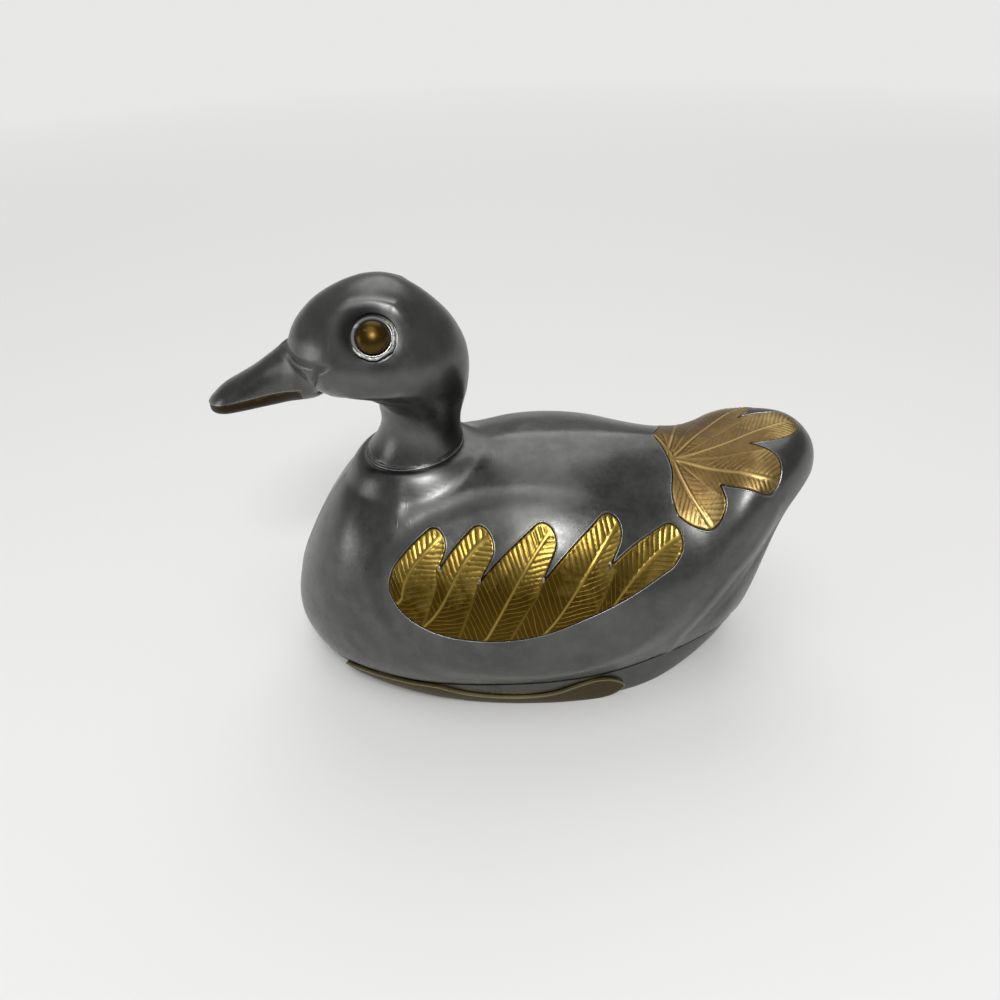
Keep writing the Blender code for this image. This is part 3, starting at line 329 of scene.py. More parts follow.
def back(x, y):
    ridge, _, beam, waist, full, _ = section(x)
    share = np.minimum(np.abs(y) / beam, 1)
    z = waist + (ridge - waist) * (1 - share**full) ** (1 / full)
    return stacked(x, y, z)


def rim_half(x):
    _, keel, beam, waist, _, belly = section(x)
    share = (waist - RIM_HEIGHT) / (waist - keel)
    return beam * np.maximum(0, 1 - share**belly) ** (1 / belly)


def end_of_rim(inner, outer):
    for _ in range(40):
        middle = (inner + outer) / 2
        if section(middle)[1] < RIM_HEIGHT:
            inner = middle
        else:
            outer = middle
    return inner


RIM_FRONT = end_of_rim(BREAST_X + 0.2 * BODY_LENGTH, BREAST_X)
RIM_BACK = end_of_rim(BREAST_X + 0.7 * BODY_LENGTH, TAIL_X)
RIM_MIDDLE, RIM_REACH = (RIM_FRONT + RIM_BACK) / 2, (RIM_BACK - RIM_FRONT) / 2
RIM_HALF = float(rim_half(RIM_MIDDLE))
FLOOR_MIDDLE = RIM_MIDDLE + (FLOOR_FRONT_SET_IN - FLOOR_BACK_SET_IN) / 2
FLOOR_REACH = RIM_REACH - (FLOOR_FRONT_SET_IN + FLOOR_BACK_SET_IN) / 2
FLOOR_HALF = RIM_HALF - FLOOR_SIDE_SET_IN
HULL_GIRTH = math.hypot(RIM_HEIGHT, FLOOR_SIDE_SET_IN)


def rim_place(turn, inset):
    across = rim_half(RIM_MIDDLE + RIM_REACH * np.cos(turn)) * (1 - inset / RIM_HALF)
    return RIM_MIDDLE + (RIM_REACH - inset) * np.cos(turn), np.copysign(across, np.sin(turn))


def side_place(turn, down, rim_inset, floor_inset, floor_z):
    """Points between the rim, where down is 0, and the flat bottom, where down is 1."""
    angle = down * math.pi / 2
    reach = 1 - np.maximum(np.cos(angle), 0) ** (2 / BILGE_FULLNESS)
    drop = np.maximum(np.sin(angle), 0) ** (2 / BILGE_FULLNESS)
    rim_x, rim_y = rim_place(turn, rim_inset)
    power = 2 / FLOOR_FULLNESS
    x = FLOOR_MIDDLE + (FLOOR_REACH - floor_inset) * signed_power(np.cos(turn), power)
    y = (FLOOR_HALF - floor_inset) * signed_power(np.sin(turn), power)
    z = RIM_HEIGHT - (RIM_HEIGHT - floor_z) * drop
    return stacked(rim_x + (x - rim_x) * reach, rim_y + (y - rim_y) * reach, z)


def hull_side(x, drop):
    turn = -np.arccos(np.clip((x - RIM_MIDDLE) / RIM_REACH, -1, 1))
    return side_place(turn, np.clip(drop / HULL_GIRTH, 0, 1), HULL_SET_IN, 0.0, 0.0)


def normals_of(surface, u, v):
    step = 0.05
    along_u = surface(u + step, v) - surface(u - step, v)
    along_v = surface(u, v + step) - surface(u, v - step)
    normal = np.cross(along_u, along_v)
    return normal / np.linalg.norm(normal, axis=-1, keepdims=True)


def laid(surface, flat):
    """Places and normals of a surface, under the points of a flat outline."""
    return surface(flat[:, 0], flat[:, 1]), normals_of(surface, flat[:, 0], flat[:, 1])


def line_distance(points, line):
    """Distance from each point to a run of points, and the share of the run's last column."""
    line = np.array(line, float)
    best = np.full(len(points), 1e9)
    share = np.zeros(len(points))
    for a, b in zip(line, line[1:]):
        edge = (b - a)[:3]
        t = np.clip((points - a[:3]) @ edge / (edge @ edge), 0, 1)
        away = np.linalg.norm(points - a[:3] - t[:, None] * edge, axis=1)
        nearer = away < best
        best = np.where(nearer, away, best)
        share = np.where(nearer, a[3] + t * (b[3] - a[3]), share)
    return best, share


def folded(points):
    """Points of both sides, laid over the side of +Y."""
    return points * (1, 0, 1) + np.abs(points) * (0, 1, 0)


def relief(points, table):
    """Height of the soft ridges and hollows at each point, the same on both sides."""
    height, mirrored = np.zeros(len(points)), folded(points)
    for rise, width, line in table:
        away, share = line_distance(mirrored, line)
        height += rise * share * np.exp(-(away / width) ** 2)
    return height


def placed(name, data):
    thing = bpy.data.objects.new(name, data)
    bpy.context.scene.collection.objects.link(thing)
    return thing


def make_object(name, points, faces, material, values=None, crease=None):
    """Mesh object from points in millimetres, with optional values for the material."""
    mesh = bpy.data.meshes.new(name)
    mesh.from_pydata((np.asarray(points) * MM).tolist(), [], faces)
    for key, data in (values or {}).items():
        mesh.attributes.new(key, "FLOAT", "POINT").data.foreach_set("value", data)
    thing = placed(name, mesh)
    if material:
        mesh.materials.append(material)
    finish_mesh(thing, crease)
    return thing


def finish_mesh(thing, crease=None):
    """Faces outwards, shaded smooth apart from sharp edges."""
    work = bmesh.new()
    work.from_mesh(thing.data)
    bmesh.ops.recalc_face_normals(work, faces=work.faces)
    if work.calc_volume(signed=True) < 0:
        bmesh.ops.reverse_faces(work, faces=work.faces)
    work.to_mesh(thing.data)
    work.free()
    thing.data.shade_smooth()
    if crease:
        thing.data.set_sharp_from_angle(angle=math.radians(crease))


def settle(thing, crease=None):
    """Apply the modifiers and drop them."""
    result = bpy.data.meshes.new_from_object(
        thing.evaluated_get(bpy.context.evaluated_depsgraph_get()))
    thing.modifiers.clear()
    thing.data = result
    if crease:
        result.shade_smooth()
        result.set_sharp_from_angle(angle=math.radians(crease))


def cut(thing, cutter, operation="DIFFERENCE"):
    modifier = thing.modifiers.new("cut", "BOOLEAN")
    modifier.object = cutter
    modifier.operation = operation
    modifier.solver = "MANIFOLD"
    settle(thing)
    bpy.data.objects.remove(cutter, do_unlink=True)


def ring_faces(rows, count, wrap=False):
    """Quads between rings of equally many points, and from the last ring to the first."""
    faces = []
    for r in range(rows if wrap else rows - 1):
        low, high = r * count, (r + 1) % rows * count
        faces += [(low + k, low + (k + 1) % count, high + (k + 1) % count, high + k)
                  for k in range(count)]
    return faces


def loft(rings, ends=(None, None)):
    """Closed skin through rings; an end is a tip point, or None for a flat face."""
    rings = np.asarray(rings)
    rows, count = rings.shape[:2]
    points = list(rings.reshape(-1, 3))
    faces = ring_faces(rows, count)
    for end, row in ((ends[0], 0), (ends[1], rows - 1)):
        loop = list(range(row * count, (row + 1) * count))
        if end is None:
            faces.append(loop)
            continue
        tip = len(points)
        points.append(np.asarray(end, float))
        faces += [(loop[k], loop[(k + 1) % count], tip) for k in range(count)]
    return np.array(points), faces


def tangent_angle(centre, radius, point, side):
    towards = point - centre
    spread = math.acos(min(radius / np.hypot(*towards), 1))
    return math.atan2(towards[1], towards[0]) + side * spread


def feather_edge(notches, tips):
    """Fine outline that climbs from each notch, rounds a feather tip and comes down."""
    points = []
    for k, (x, y, radius) in enumerate(tips):
        centre, notch = np.array((x, y)), np.array(notches[k])
        start = tangent_angle(centre, radius, notch, -1)
        end = tangent_angle(centre, radius, np.array(notches[k + 1]), 1)
        while start < end:
            start += 2 * math.pi
        run = centre + radius * np.array((math.cos(start), math.sin(start))) - notch
        bow = np.array((-run[1], run[0])) * FEATHER_BOW
        for t in np.arange(0, 1, 0.06):
            points.append(notch + run * t + bow * 4 * t * (1 - t))
        for t in np.linspace(start, end, 26):
            points.append(centre + radius * np.array((math.cos(t), math.sin(t))))
        last = points[-1]
        for t in np.arange(0.1, 0.99, 0.1):
            points.append(last + (np.array(notches[k + 1]) - last) * t)
    points.append(np.array(notches[-1]))
    return points


def smooth_run(points, steps):
    points = np.array(points, float)
    length = np.concatenate(((0,), np.cumsum(np.hypot(*np.diff(points, axis=0).T))))
    places = length[-1] * np.arange(1, steps) / steps
    columns = [curve_value(tuple(zip(length, points[:, k])), places) for k in (0, 1)]
    return list(np.stack(columns, -1))


def scaled(points, start, size, radius=1):
    """Places, or circles, of an outline's table in millimetres."""
    return [(start[0] + u * size[0], start[1] + v * size[1], *(r * radius for r in rest))
            for u, v, *rest in points]


def wing_outline():
    notches = scaled(WING_NOTCHES, WING_START, WING_SIZE)
    edge = feather_edge(notches, scaled(WING_TIPS, WING_START, WING_SIZE, FEATHER_TIP))
    foot = [notches[-1], *scaled(WING_FOOT, WING_START, WING_SIZE), notches[0]]
    return np.array(edge + smooth_run(foot, 110))


def fan_outline():
    notches = scaled(FAN_NOTCHES, FAN_START, FAN_SIZE)
    tips = scaled(FAN_TIPS, FAN_START, FAN_SIZE, FAN_TIP)
    root = smooth_run([FAN_START, *scaled(FAN_ROOT, FAN_START, FAN_SIZE), notches[0]], 36)
    edge = feather_edge(notches + [(notches[-1][0], -notches[-1][1])], tips)
    half = np.array([p for p in root + edge if p[1] > 0.02])
    apex = np.array([(tips[-1][0] + tips[-1][2], 0)])
    return np.concatenate((np.array([FAN_START]), half, apex, half[::-1] * (1, -1)))


def belly_outline():
    points = scaled(BELLY_EDGE, (RIM_FRONT + BELLY_SET_BACK, 0), (BELLY_LENGTH, HULL_GIRTH))
    return np.array([np.array(points[0])] + smooth_run(points + [points[0]], 240))


def winding(points):
    after = np.roll(points, -1, axis=0)
    return 1 if np.sum(points[:, 0] * after[:, 1] - after[:, 0] * points[:, 1]) > 0 else -1


def widened(points, amount):
    """Outline moved outwards by an amount, with as many points."""
    before, after = np.roll(points, 1, axis=0), np.roll(points, -1, axis=0)
    first, second = points - before, after - points
    first /= np.linalg.norm(first, axis=1, keepdims=True)
    second /= np.linalg.norm(second, axis=1, keepdims=True)
    mean = first + second
    mean /= np.linalg.norm(mean, axis=1, keepdims=True) + 1e-9
    half = np.maximum(np.sum(mean * first, axis=1, keepdims=True), 0.5)
    return points + np.stack((mean[:, 1], -mean[:, 0]), -1) * winding(points) * amount / half


def grown(points, amount):
    """Outline moved outwards, without the points that land too near its other side."""
    ring = widened(points, amount)
    return ring[edge_distance(ring, points)[0] > 0.95 * amount]


def edge_distance(spots, points):
    """Distance from each spot to an outline, and whether it is inside."""
    best = np.full(len(spots), 1e9)
    inside = np.zeros(len(spots), bool)
    for a, b in zip(points, np.roll(points, -1, axis=0)):
        edge = b - a
        t = np.clip((spots - a) @ edge / max(edge @ edge, 1e-12), 0, 1)
        best = np.minimum(best, np.linalg.norm(spots - a - t[:, None] * edge, axis=1))
        crosses = (a[1] > spots[:, 1]) != (b[1] > spots[:, 1])
        rise = b[1] - a[1] if abs(b[1] - a[1]) > 1e-12 else 1e-12
        inside ^= crosses & (spots[:, 0] < a[0] + (spots[:, 1] - a[1]) * edge[0] / rise)
    return best, inside


def triangulated(points, grid, insets=()):
    """Flat mesh of an outline: points, triangles and how far each point is from the edge."""
    low, high = points.min(axis=0), points.max(axis=0)
    rows = np.arange(low[1] + grid / 2, high[1], grid)
    spots = np.array([(x, y) for k, y in enumerate(rows)
                      for x in np.arange(low[0] + grid * (0.25 + 0.5 * (k % 2)), high[0], grid)])
    away, inside = edge_distance(spots, points)
    keep = inside & (away > max(0.6 * grid, (insets[-1] if insets else 0) + 0.4 * grid))
    groups = [spots[keep]]
    for inset in insets:
        ring = widened(points, -inset)
        away, inside = edge_distance(ring, points)
        groups.append(ring[inside & (away > 0.93 * inset)])
    inner = np.concatenate(groups)
    places = [Vector(p) for p in np.concatenate((points, inner))]
    flat, _, faces, _, _, _ = delaunay_2d_cdt(places, [], [list(range(len(points)))], 1, 1e-7)
    flat = np.array([tuple(p) for p in flat])
    return flat, faces, edge_distance(flat, points)[0]


def block(points, surface, low, high):
    """Cutting block over an outline, between two heights over a surface."""
    flat, faces, _ = triangulated(points, BLOCK_GRID)
    base, out = laid(surface, flat)
    return closed_plate(base + out * low, base + out * high, faces, len(points))


def closed_plate(under, top, faces, rim):
    count = len(under)
    points = np.concatenate((under, top))
    result = [tuple(f) for f in faces] + [tuple(k + count for k in f) for f in faces]
    result += [(k, (k + 1) % rim, (k + 1) % rim + count, k + count) for k in range(rim)]
    return points, result


def rib_place(spots, rib):
    """How far each spot lies along a midrib from its tip, and how far beside it."""
    rib = np.array(rib, float)
    axis = (rib[-1] - rib[0]) / np.linalg.norm(rib[-1] - rib[0])
    turn = np.stack((axis, (-axis[1], axis[0])), -1)
    line, local = (rib - rib[0]) @ turn, (spots - rib[0]) @ turn
    bend = np.polyfit(line[:, 0], line[:, 1], 3)
    along = local[:, 0]
    return along, local[:, 1] - np.polyval(bend, np.clip(along, -1.0, line[-1, 0] + 1.5))


def engraving(along, beside, seed, leans, pitch, flute, reach):
    """Height, barb phase and nearness to the tip over one engraved feather."""
    away = np.abs(beside)
    lean = np.where(beside > 0, leans[0], leans[1])
    wobble = 0.10 * np.sin(along * 0.9 + seed) + 0.07 * np.sin(along * 2.3 + 2.1 * seed + away)
    phase = (along + lean * away * (1 + 0.05 * np.sin(seed + along * 0.4))) / pitch + wobble
    phase += np.where(beside > 0, 0.37, 0)
    wave = np.abs(np.sin(math.pi * phase))
    near_tip = np.exp(-(np.maximum(along, 0) / reach) ** 2)
    depth = FINE_LINE + (flute - FINE_LINE) * near_tip * (0.8 + 0.3 * np.sin(phase * 1.7 + seed))
    depth = depth * soft(away, 0.25, 0.8)
    height = -depth * (near_tip * (1 - wave) + (1 - near_tip) * (1 - soft(wave, 0.0, 0.42)))
    rib = np.exp(-(away / 0.28) ** 2) * soft(along, 0.6, 2.5)
    height += 0.07 * rib - 0.05 * np.exp(-((away - 0.55) / 0.2) ** 2)
    return height, phase, away, near_tip


def wing_engraving(spots):
    """Five feathers that lean back, with lines between them low down."""
    which = np.zeros(len(spots), int)
    edge_away = np.full(len(spots), 9.0)
    for bound in WING_BOUNDS:
        bound = np.array(bound, float)
        x = np.interp(spots[:, 1], bound[:, 1], bound[:, 0])
        which += spots[:, 0] > x
        edge_away = np.minimum(edge_away, np.abs(spots[:, 0] - x) * 0.85)
    return feather_set(spots, WING_RIBS, which, edge_away, WING_BARBS)


def fan_engraving(spots):
    """Five feathers fanned out from one place, each spot in the nearest."""
    away = np.stack([np.abs(rib_place(spots, rib)[1]) for rib in FAN_RIBS])
    which = np.argmin(away, axis=0)
    ordered = np.sort(away, axis=0)
    return feather_set(spots, FAN_RIBS, which, (ordered[1] - ordered[0]) / 2, FAN_BARBS)


def feather_set(spots, ribs, which, edge_away, barbs):
    """Height, phase, distance from the midrib, nearness to the tip, and line to the next."""
    parts = np.zeros((4, len(spots)))
    for k, rib in enumerate(ribs):
        mine = which == k
        along, beside = rib_place(spots[mine], rib)
        parts[:, mine] = engraving(along, beside, 1.7 * k + 0.4, **barbs)
    seam = np.exp(-(edge_away / SEAM_LINE_WIDTH) ** 2) * (1 - parts[3])
    rib = np.minimum(parts[2], 1.3 * edge_away)
    return parts[0] - SEAM_LINE * seam, parts[1], rib, parts[3], seam


def belly_engraving(spots):
    """Fine slanting lines, close together."""
    phase = (spots[:, 0] * 0.62 + spots[:, 1] * 0.9) / 1.15 + 0.12 * np.sin(spots[:, 0] * 0.7)
    zero = np.zeros(len(spots))
    return zero, phase, zero + 9, zero, zero


def plate(name, outline, surface, engrave, table, material, flip=1):
    """Engraved brass plate with a rounded edge, laid on a surface; flip -1 mirrors it."""
    points = grown(outline, PLATE_FIT)
    flat, faces, away = triangulated(points, PLATE_GRID, PLATE_INSETS)
    base, out = laid(surface, flat)
    height, phase, rib, tip, seam = engrave(flat)
    inner = soft(away, 0.15, 0.7)
    lumps = 0.03 * np.sin(flat[:, 0] * 0.9 + 1.3 * np.sin(flat[:, 1] * 0.7)) * inner
    edge = np.minimum(away, PLATE_ROUND) / PLATE_ROUND
    fall = PLATE_ROUND * (1 - np.sqrt(1 - (1 - edge) ** 2))
    level = relief(base, table) + height * inner + lumps - fall + 0.05
    under = base - out * INLAY_THICKNESS
    result, sides = closed_plate(under, base + out * level[:, None], faces, len(points))
    result[:, 2] = np.maximum(result[:, 2], FLOOR_CLEARANCE)
    # Ridges of the engraving made lighter in the brass: partly rubbing, partly painted highlight
    values = {"phase": phase, "rib": rib, "tip": tip, "seam": seam,
              "wearing_and_highlight": soft(height, 0.0, 0.06), "edge": 1 - soft(away, 0.1, 0.6)}
    values = {key: np.tile(value, 2) for key, value in values.items()}
    return make_object(name, result * (1, flip, 1), sides, material, values, crease=60)


def lip_strip(name, outline, surface, flip=1):
    """Thin burnished edge of the lid's casting, round a plate."""
    rows, start = [], grown(outline, INLAY_GAP - 0.04)
    for offset, level in CAST_LIP:
        ring = widened(start, offset)
        for _ in range(4):
            ring = (np.roll(ring, 1, axis=0) + 2 * ring + np.roll(ring, -1, axis=0)) / 4
        base, out = laid(surface, ring)
        rows.append(base + out * (relief(base, LID_RELIEF) + level)[:, None])
    return make_object(name, np.concatenate(rows) * (1, flip, 1),
                       ring_faces(len(rows), len(start), True), MATERIALS["pewter"])


def vectors(thing, key):
    """Places ("co") or normals ("normal") of an object's vertices."""
    values = np.empty(len(thing.data.vertices) * 3)
    thing.data.vertices.foreach_get(key, values)
    return values.reshape(-1, 3)


def stations(count):
    """Shares of the body's length, closer together near both ends."""
    return (1 - np.cos(math.pi * np.arange(1, count) / count)) / 2


def angles(count, start=0):
    return 2 * math.pi * (np.arange(count) + start) / count


def lid_skin():
    """Fine closed skin of the body with its soft relief."""
    x = BREAST_X + stations(LID_STEPS[0]) * BODY_LENGTH
    rings = skin(x[:, None], angles(LID_STEPS[1])[None, :])
    tips = [(end, 0, float(section(end)[3])) for end in (BREAST_X, TAIL_X)]
    points, faces = loft(rings, tips)
    thing = make_object("lid_skin", points, faces, MATERIALS["seam_shaded_pewter"])
    out = vectors(thing, "normal")
    points = points + out * relief(points, LID_RELIEF)[:, None]
    edge = RIM_HEIGHT + SEAM_GAP
    low = soft(points[:, 2], edge, edge + SEAM_TUCK_RISE)
    points -= out * (SEAM_TUCK * (1 - low))[:, None]
    thing.data.vertices.foreach_set("co", (points * MM).ravel())
    return thing


def lid_cavity():
    along = stations(CAVITY_STEPS[0])
    x = BREAST_X + LID_WALL + along * (BODY_LENGTH - 2 * LID_WALL)
    ridge, keel, beam, waist, top, low = section(BREAST_X + along * BODY_LENGTH)

    def drawn_in(reach):
        return np.hypot(reach, LID_WALL) - LID_WALL

    shape = [waist + drawn_in(ridge - waist), waist - drawn_in(waist - keel), drawn_in(beam),
             waist, top, low]
    y, z = section_ring([part[:, None] for part in shape], angles(CAVITY_STEPS[1])[None, :])
    rings = stacked(x[:, None], y, z)
    ends = [(BREAST_X + LID_WALL, 0, float(section(BREAST_X)[3])),
            (TAIL_X - LID_WALL, 0, float(section(TAIL_X)[3]))]
    return make_object("lid_cavity", *loft(rings, ends), None)


def turned_rings(profile, count):
    return np.array([[(r * math.cos(t), r * math.sin(t), h) for t in angles(count)]
                     for r, h in profile])


def build_lid():
    lid = lid_skin()
    edge = RIM_HEIGHT + SEAM_GAP
    corners = [[(x * SEAM_CUT[0], y * SEAM_CUT[1], z) for x, y in SQUARE]
               for z in (edge - SEAM_CUT[2], edge)]
    cut(lid, make_object("below_seam", *loft(corners), None))
    cut(lid, lid_cavity())
    wing, fan = wing_outline(), fan_outline()
    floor = -INLAY_THICKNESS - INLAY_BED
    points, faces = block(grown(wing, INLAY_GAP), flank, floor, 2.0)
    for _, flip in SIDES:
        cut(lid, make_object("recess", points * (1, flip, 1), faces, None))
    cut(lid, make_object("recess", *block(grown(fan, INLAY_GAP), back, floor, 2.0), None))
    radius, depth = SPIGOT_RADIUS + SPIGOT_CLEARANCE, 3 * LID_WALL + 2
    bore = turned_rings(((radius, -depth), (radius, depth)), 96) + (NECK_X, 0, NECK_SEAT)
    cut(lid, make_object("bore", *loft(bore), None))
    settle(lid, 38)
    stain_lid(lid)
    lid.name = "lid_back"
    pieces = [lid]
    for side, flip in SIDES:
        pieces.append(lip_strip(f"wing_lip_{side}", wing, flank, flip))
        piece = plate(f"wing_brass_{side}", wing, flank, wing_engraving, LID_RELIEF,
                      MATERIALS["brass"], flip)
        declare(piece, "lid", "brass", f"wing_inlay_{side}")
    pieces.append(lip_strip("tail_lip", fan, back))
    piece = plate("tail_brass", fan, back, fan_engraving, LID_RELIEF, MATERIALS["tail_brass"])
    declare(piece, "lid", "brass", "tail_inlay")
    pieces += solder_blobs(wing)
    for piece in pieces:
        declare(piece, "lid", "pewter", "lid_shell")


def solder_blobs(wing):
    """Small bright beads left in the notches between the feathers."""
    made = []
    ring = grown(wing, PLATE_FIT)
    for k, notch in enumerate(scaled(WING_NOTCHES[1:5], WING_START, WING_SIZE)):
        spot = ring[np.argmin(np.linalg.norm(ring - notch, axis=1))] + (0.05, 0.25)
        base = flank(*spot)
        out = normals_of(flank, *spot)
        lift = relief(base[None, :], LID_RELIEF)[0]
        for side, flip in SIDES:
            made.append(bead(f"notch_bead_{k}_{side}", (base + out * lift) * (1, flip, 1),
                             out * (1, flip, 1), (0.30, 0.62, 0.2), 0.6 * k + flip))
    return made


def bead(name, centre, out, size, seed):
    """Small rough lump of solder."""
    work = bmesh.new()
    bmesh.ops.create_icosphere(work, subdivisions=3, radius=1)
    ball = np.array([tuple(v.co) for v in work.verts])
    faces = [tuple(v.index for v in face.verts) for face in work.faces]
    work.free()
    rough = 1 + 0.12 * np.sin(5 * ball[:, 0] + seed) * np.cos(6 * ball[:, 1] + 2 * seed)
    ball = ball * rough[:, None] * size
    turn = Vector(out).to_track_quat("Z", "Y").to_matrix()
    points = ball @ np.array(turn).T + centre
    return make_object(name, points, faces, MATERIALS["solder"])


def build_hull():
    turns = angles(HULL_STEPS, 0.5)
    lip = LID_WALL / math.cos(FLANK_LEAN) + LIP_CLEARANCE
    inner, top = lip + LIP_WALL, RIM_HEIGHT + LIP_HEIGHT
    rings = [side_place(turns, k / 40, HULL_SET_IN, 0, 0) for k in range(40, 0, -1)]
    rings[-1][:, 2] = np.minimum(rings[-1][:, 2], RIM_HEIGHT - 0.3)
    for inset, z in (
            (HULL_SET_IN + 0.04, RIM_HEIGHT - 0.15), (HULL_SET_IN + 0.14, RIM_HEIGHT - 0.04),
            (HULL_SET_IN + 0.3, RIM_HEIGHT), (lip - 0.15, RIM_HEIGHT), (lip, RIM_HEIGHT + 0.15),
            (lip + LIP_TAPER, top - 0.2), (lip + LIP_TAPER + 0.2, top), (inner - 0.2, top),
            (inner, top - 0.2)):
        x, y = rim_place(turns, inset)
        rings.append(stacked(x, y, z))
    rings += [side_place(turns, k / 24, inner, HULL_WALL, HULL_WALL) for k in range(25)]
    hull = make_object("hull_casting", *loft(rings), MATERIALS["seam_shaded_pewter"])
    outline = belly_outline()
    floor = -INLAY_THICKNESS - INLAY_BED
    points, faces = block(grown(outline, INLAY_GAP), hull_side, floor, 1.0)
    for side, flip in SIDES:
        cut(hull, make_object("recess", points * (1, flip, 1), faces, None))
        piece = plate(f"belly_brass_{side}", outline, hull_side, belly_engraving, (),
                      MATERIALS["belly_brass"], flip)
        declare(piece, "base", "brass", f"belly_inlay_{side}")
    settle(hull, 38)
    declare(hull, "base", "pewter", "base_hull")


def head_ring(share):
    """Middle of the head's ring along X, its reach along X and its half width."""
    rise = np.arcsin(np.clip(share, 0, 1))
    front, rear, half = [curve_value([(math.asin(row[0]), row[k]) for row in HEAD_RINGS], rise)
                         for k in (1, 2, 3)]
    return (rear - front) / 2, (rear + front) / 2, half


def head_skin(share, turn):
    middle, reach, half = head_ring(share)
    x = NECK_X + middle + reach * np.cos(turn)
    lean = lean_at(x) * (1 - soft(share, 0, 0.35))
    return stacked(x, half * np.sin(turn), HEAD_FOOT + share * HEAD_HEIGHT + lean)


def bill_rings(set_in, rows, count):
    share = ((np.arange(1, rows + 1)) / rows) ** 1.6
    knots = [[(math.sqrt(row[0]), row[k]) for row in BILL_SECTIONS] for k in (1, 2, 3)]
    top, under, half = [curve_value(knot, np.sqrt(share))[:, None] for knot in knots]
    base = NECK_SEAT + BILL_TIP_RISE
    top, half = base + top * BILL_RISE, half * BILL_HALF
    under = base - BILL_TIP_DROP + under * BILL_CHIN_RISE
    middle = under + BILL_MIDDLE * (top - under)
    turn = angles(count)[None, :]
    across, up = np.cos(turn), np.sin(turn)
    full = np.where(up > 0, BILL_TOP_FULLNESS, BILL_UNDER_FULLNESS)
    reach = np.where(up > 0, top - middle, middle - under)
    breadth = np.maximum(half - set_in, 0.3 * half)
    x = BILL_TIP_X + share[:, None] * BILL_LENGTH + set_in * (1 - share[:, None])
    y = breadth * signed_power(across, 2 / BILL_SIDE_FULLNESS)
    rings = stacked(x, y, middle + reach * signed_power(up, 2 / full))
    tip = (BILL_TIP_X + set_in, 0, base + BILL_TIP_DROP * -0.2 + 0.3)
    return rings, tip


def mouth_line(x):
    slope = (MOUTH_CORNER_RISE - MOUTH_TIP_RISE) / MOUTH_LENGTH
    return NECK_SEAT + MOUTH_TIP_RISE + slope * (x - BILL_TIP_X)


def mouth_block(gap, corner_gap):
    """Block under the mouth line, to cut the bill in two."""
    ahead, half, deep = MOUTH_CUT
    low, rings = NECK_SEAT + BILL_TIP_RISE - BILL_TIP_DROP - deep, []
    for x in (BILL_TIP_X - ahead, BILL_TIP_X + MOUTH_LENGTH - corner_gap):
        top = mouth_line(x) - gap
        rings.append([(x, -half, low), (x, half, low), (x, half, top), (x, -half, top)])
    return make_object("mouth", *loft(rings), None)


def eye_frames():
    """Place of each eye: a matrix with +Z out of the cheek."""
    z = NECK_SEAT + EYE_RISE

    def cheek(x, height):
        middle, reach, half = head_ring((height - HEAD_FOOT) / HEAD_HEIGHT)
        along = np.clip((x - NECK_X - middle) / reach, -1, 1)
        return stacked(x, -half * np.sqrt(1 - along**2), height)

    place, out = cheek(EYE_X, z), normals_of(cheek, EYE_X, z)
    frames = []
    for _, flip in SIDES:
        turn = Vector(out * (1, flip, 1)).to_track_quat("Z", "X").to_matrix().to_4x4()
        frames.append(Matrix.Translation(Vector(place * (1, flip, 1))) @ turn)
    return frames


def eye_spots(points):
    """The same points twice, as seen from the middle of each eye."""
    return [points - np.array(matrix)[:3, 3] for matrix in eye_frames()]


def in_frame(matrix, points):
    matrix = np.array(matrix)
    return points @ matrix[:3, :3].T + matrix[:3, 3]


def build_head():
    steps, count = HEAD_STEPS
    first = math.asin(HEAD_FIRST)
    shares = np.sin(first + (math.pi / 2 - first) * np.arange(steps) / steps)
    rings = head_skin(shares[:, None], angles(count)[None, :])
    foot = rings[0].copy()
    foot[:, :2] = (foot[:, :2] - (NECK_X, 0)) * HEAD_CLOSE + (NECK_X, 0)
    foot[:, 2] -= HEAD_CLOSE_DROP
    points, faces = loft(np.concatenate((foot[None], rings)),
                         (None, (NECK_X - CROWN_SET, 0, HEAD_FOOT + HEAD_HEIGHT)))
    rings, tip = bill_rings(0, 90, 96)
    bill, bill_faces = loft(rings, (tip, None))
    faces = faces + [tuple(k + len(points) for k in face) for face in bill_faces]
    head = make_object("head_cast", np.concatenate((points, bill)), faces, MATERIALS["pewter"])
    remesh = head.modifiers.new("remesh", "REMESH")
    remesh.mode, remesh.voxel_size = "VOXEL", HEAD_VOXEL * MM
    relax = head.modifiers.new("relax", "SMOOTH")
    relax.factor, relax.iterations = 0.5, 7
    settle(head, 180)
    blend_root(head)
    shape_head(head)
    cut(head, mouth_block(-0.05, 0.0))
    for frame_matrix in eye_frames():
        socket, sides = loft(turned_rings(SOCKET, 96))
        cut(head, make_object("socket", in_frame(frame_matrix, socket), sides, None))
    settle(head, 42)
    stain_head(head)
    declare(head, "lid", "pewter", "head_casting")
    declare(neck_beads(), "lid", "pewter", "head_casting")
    build_lower_bill()
    for frame_matrix, (side, _) in zip(eye_frames(), SIDES):
        build_eye(frame_matrix, side)


def blend_root(head):
    """Smooth away the hard join of the bill and the cheek."""
    points = vectors(head, "co") / MM
    away, share = line_distance(folded(points), ROOT_LINE)
    weight = share * (1 - soft(away, 2.0, 4.5))
    group = head.vertex_groups.new(name="root")
    for k in np.nonzero(weight > 0.01)[0]:
        group.add([int(k)], float(weight[k]), "REPLACE")
    relax = head.modifiers.new("relax", "SMOOTH")
    relax.vertex_group, relax.factor, relax.iterations = "root", 0.5, 50
    settle(head, 180)
    head.vertex_groups.clear()


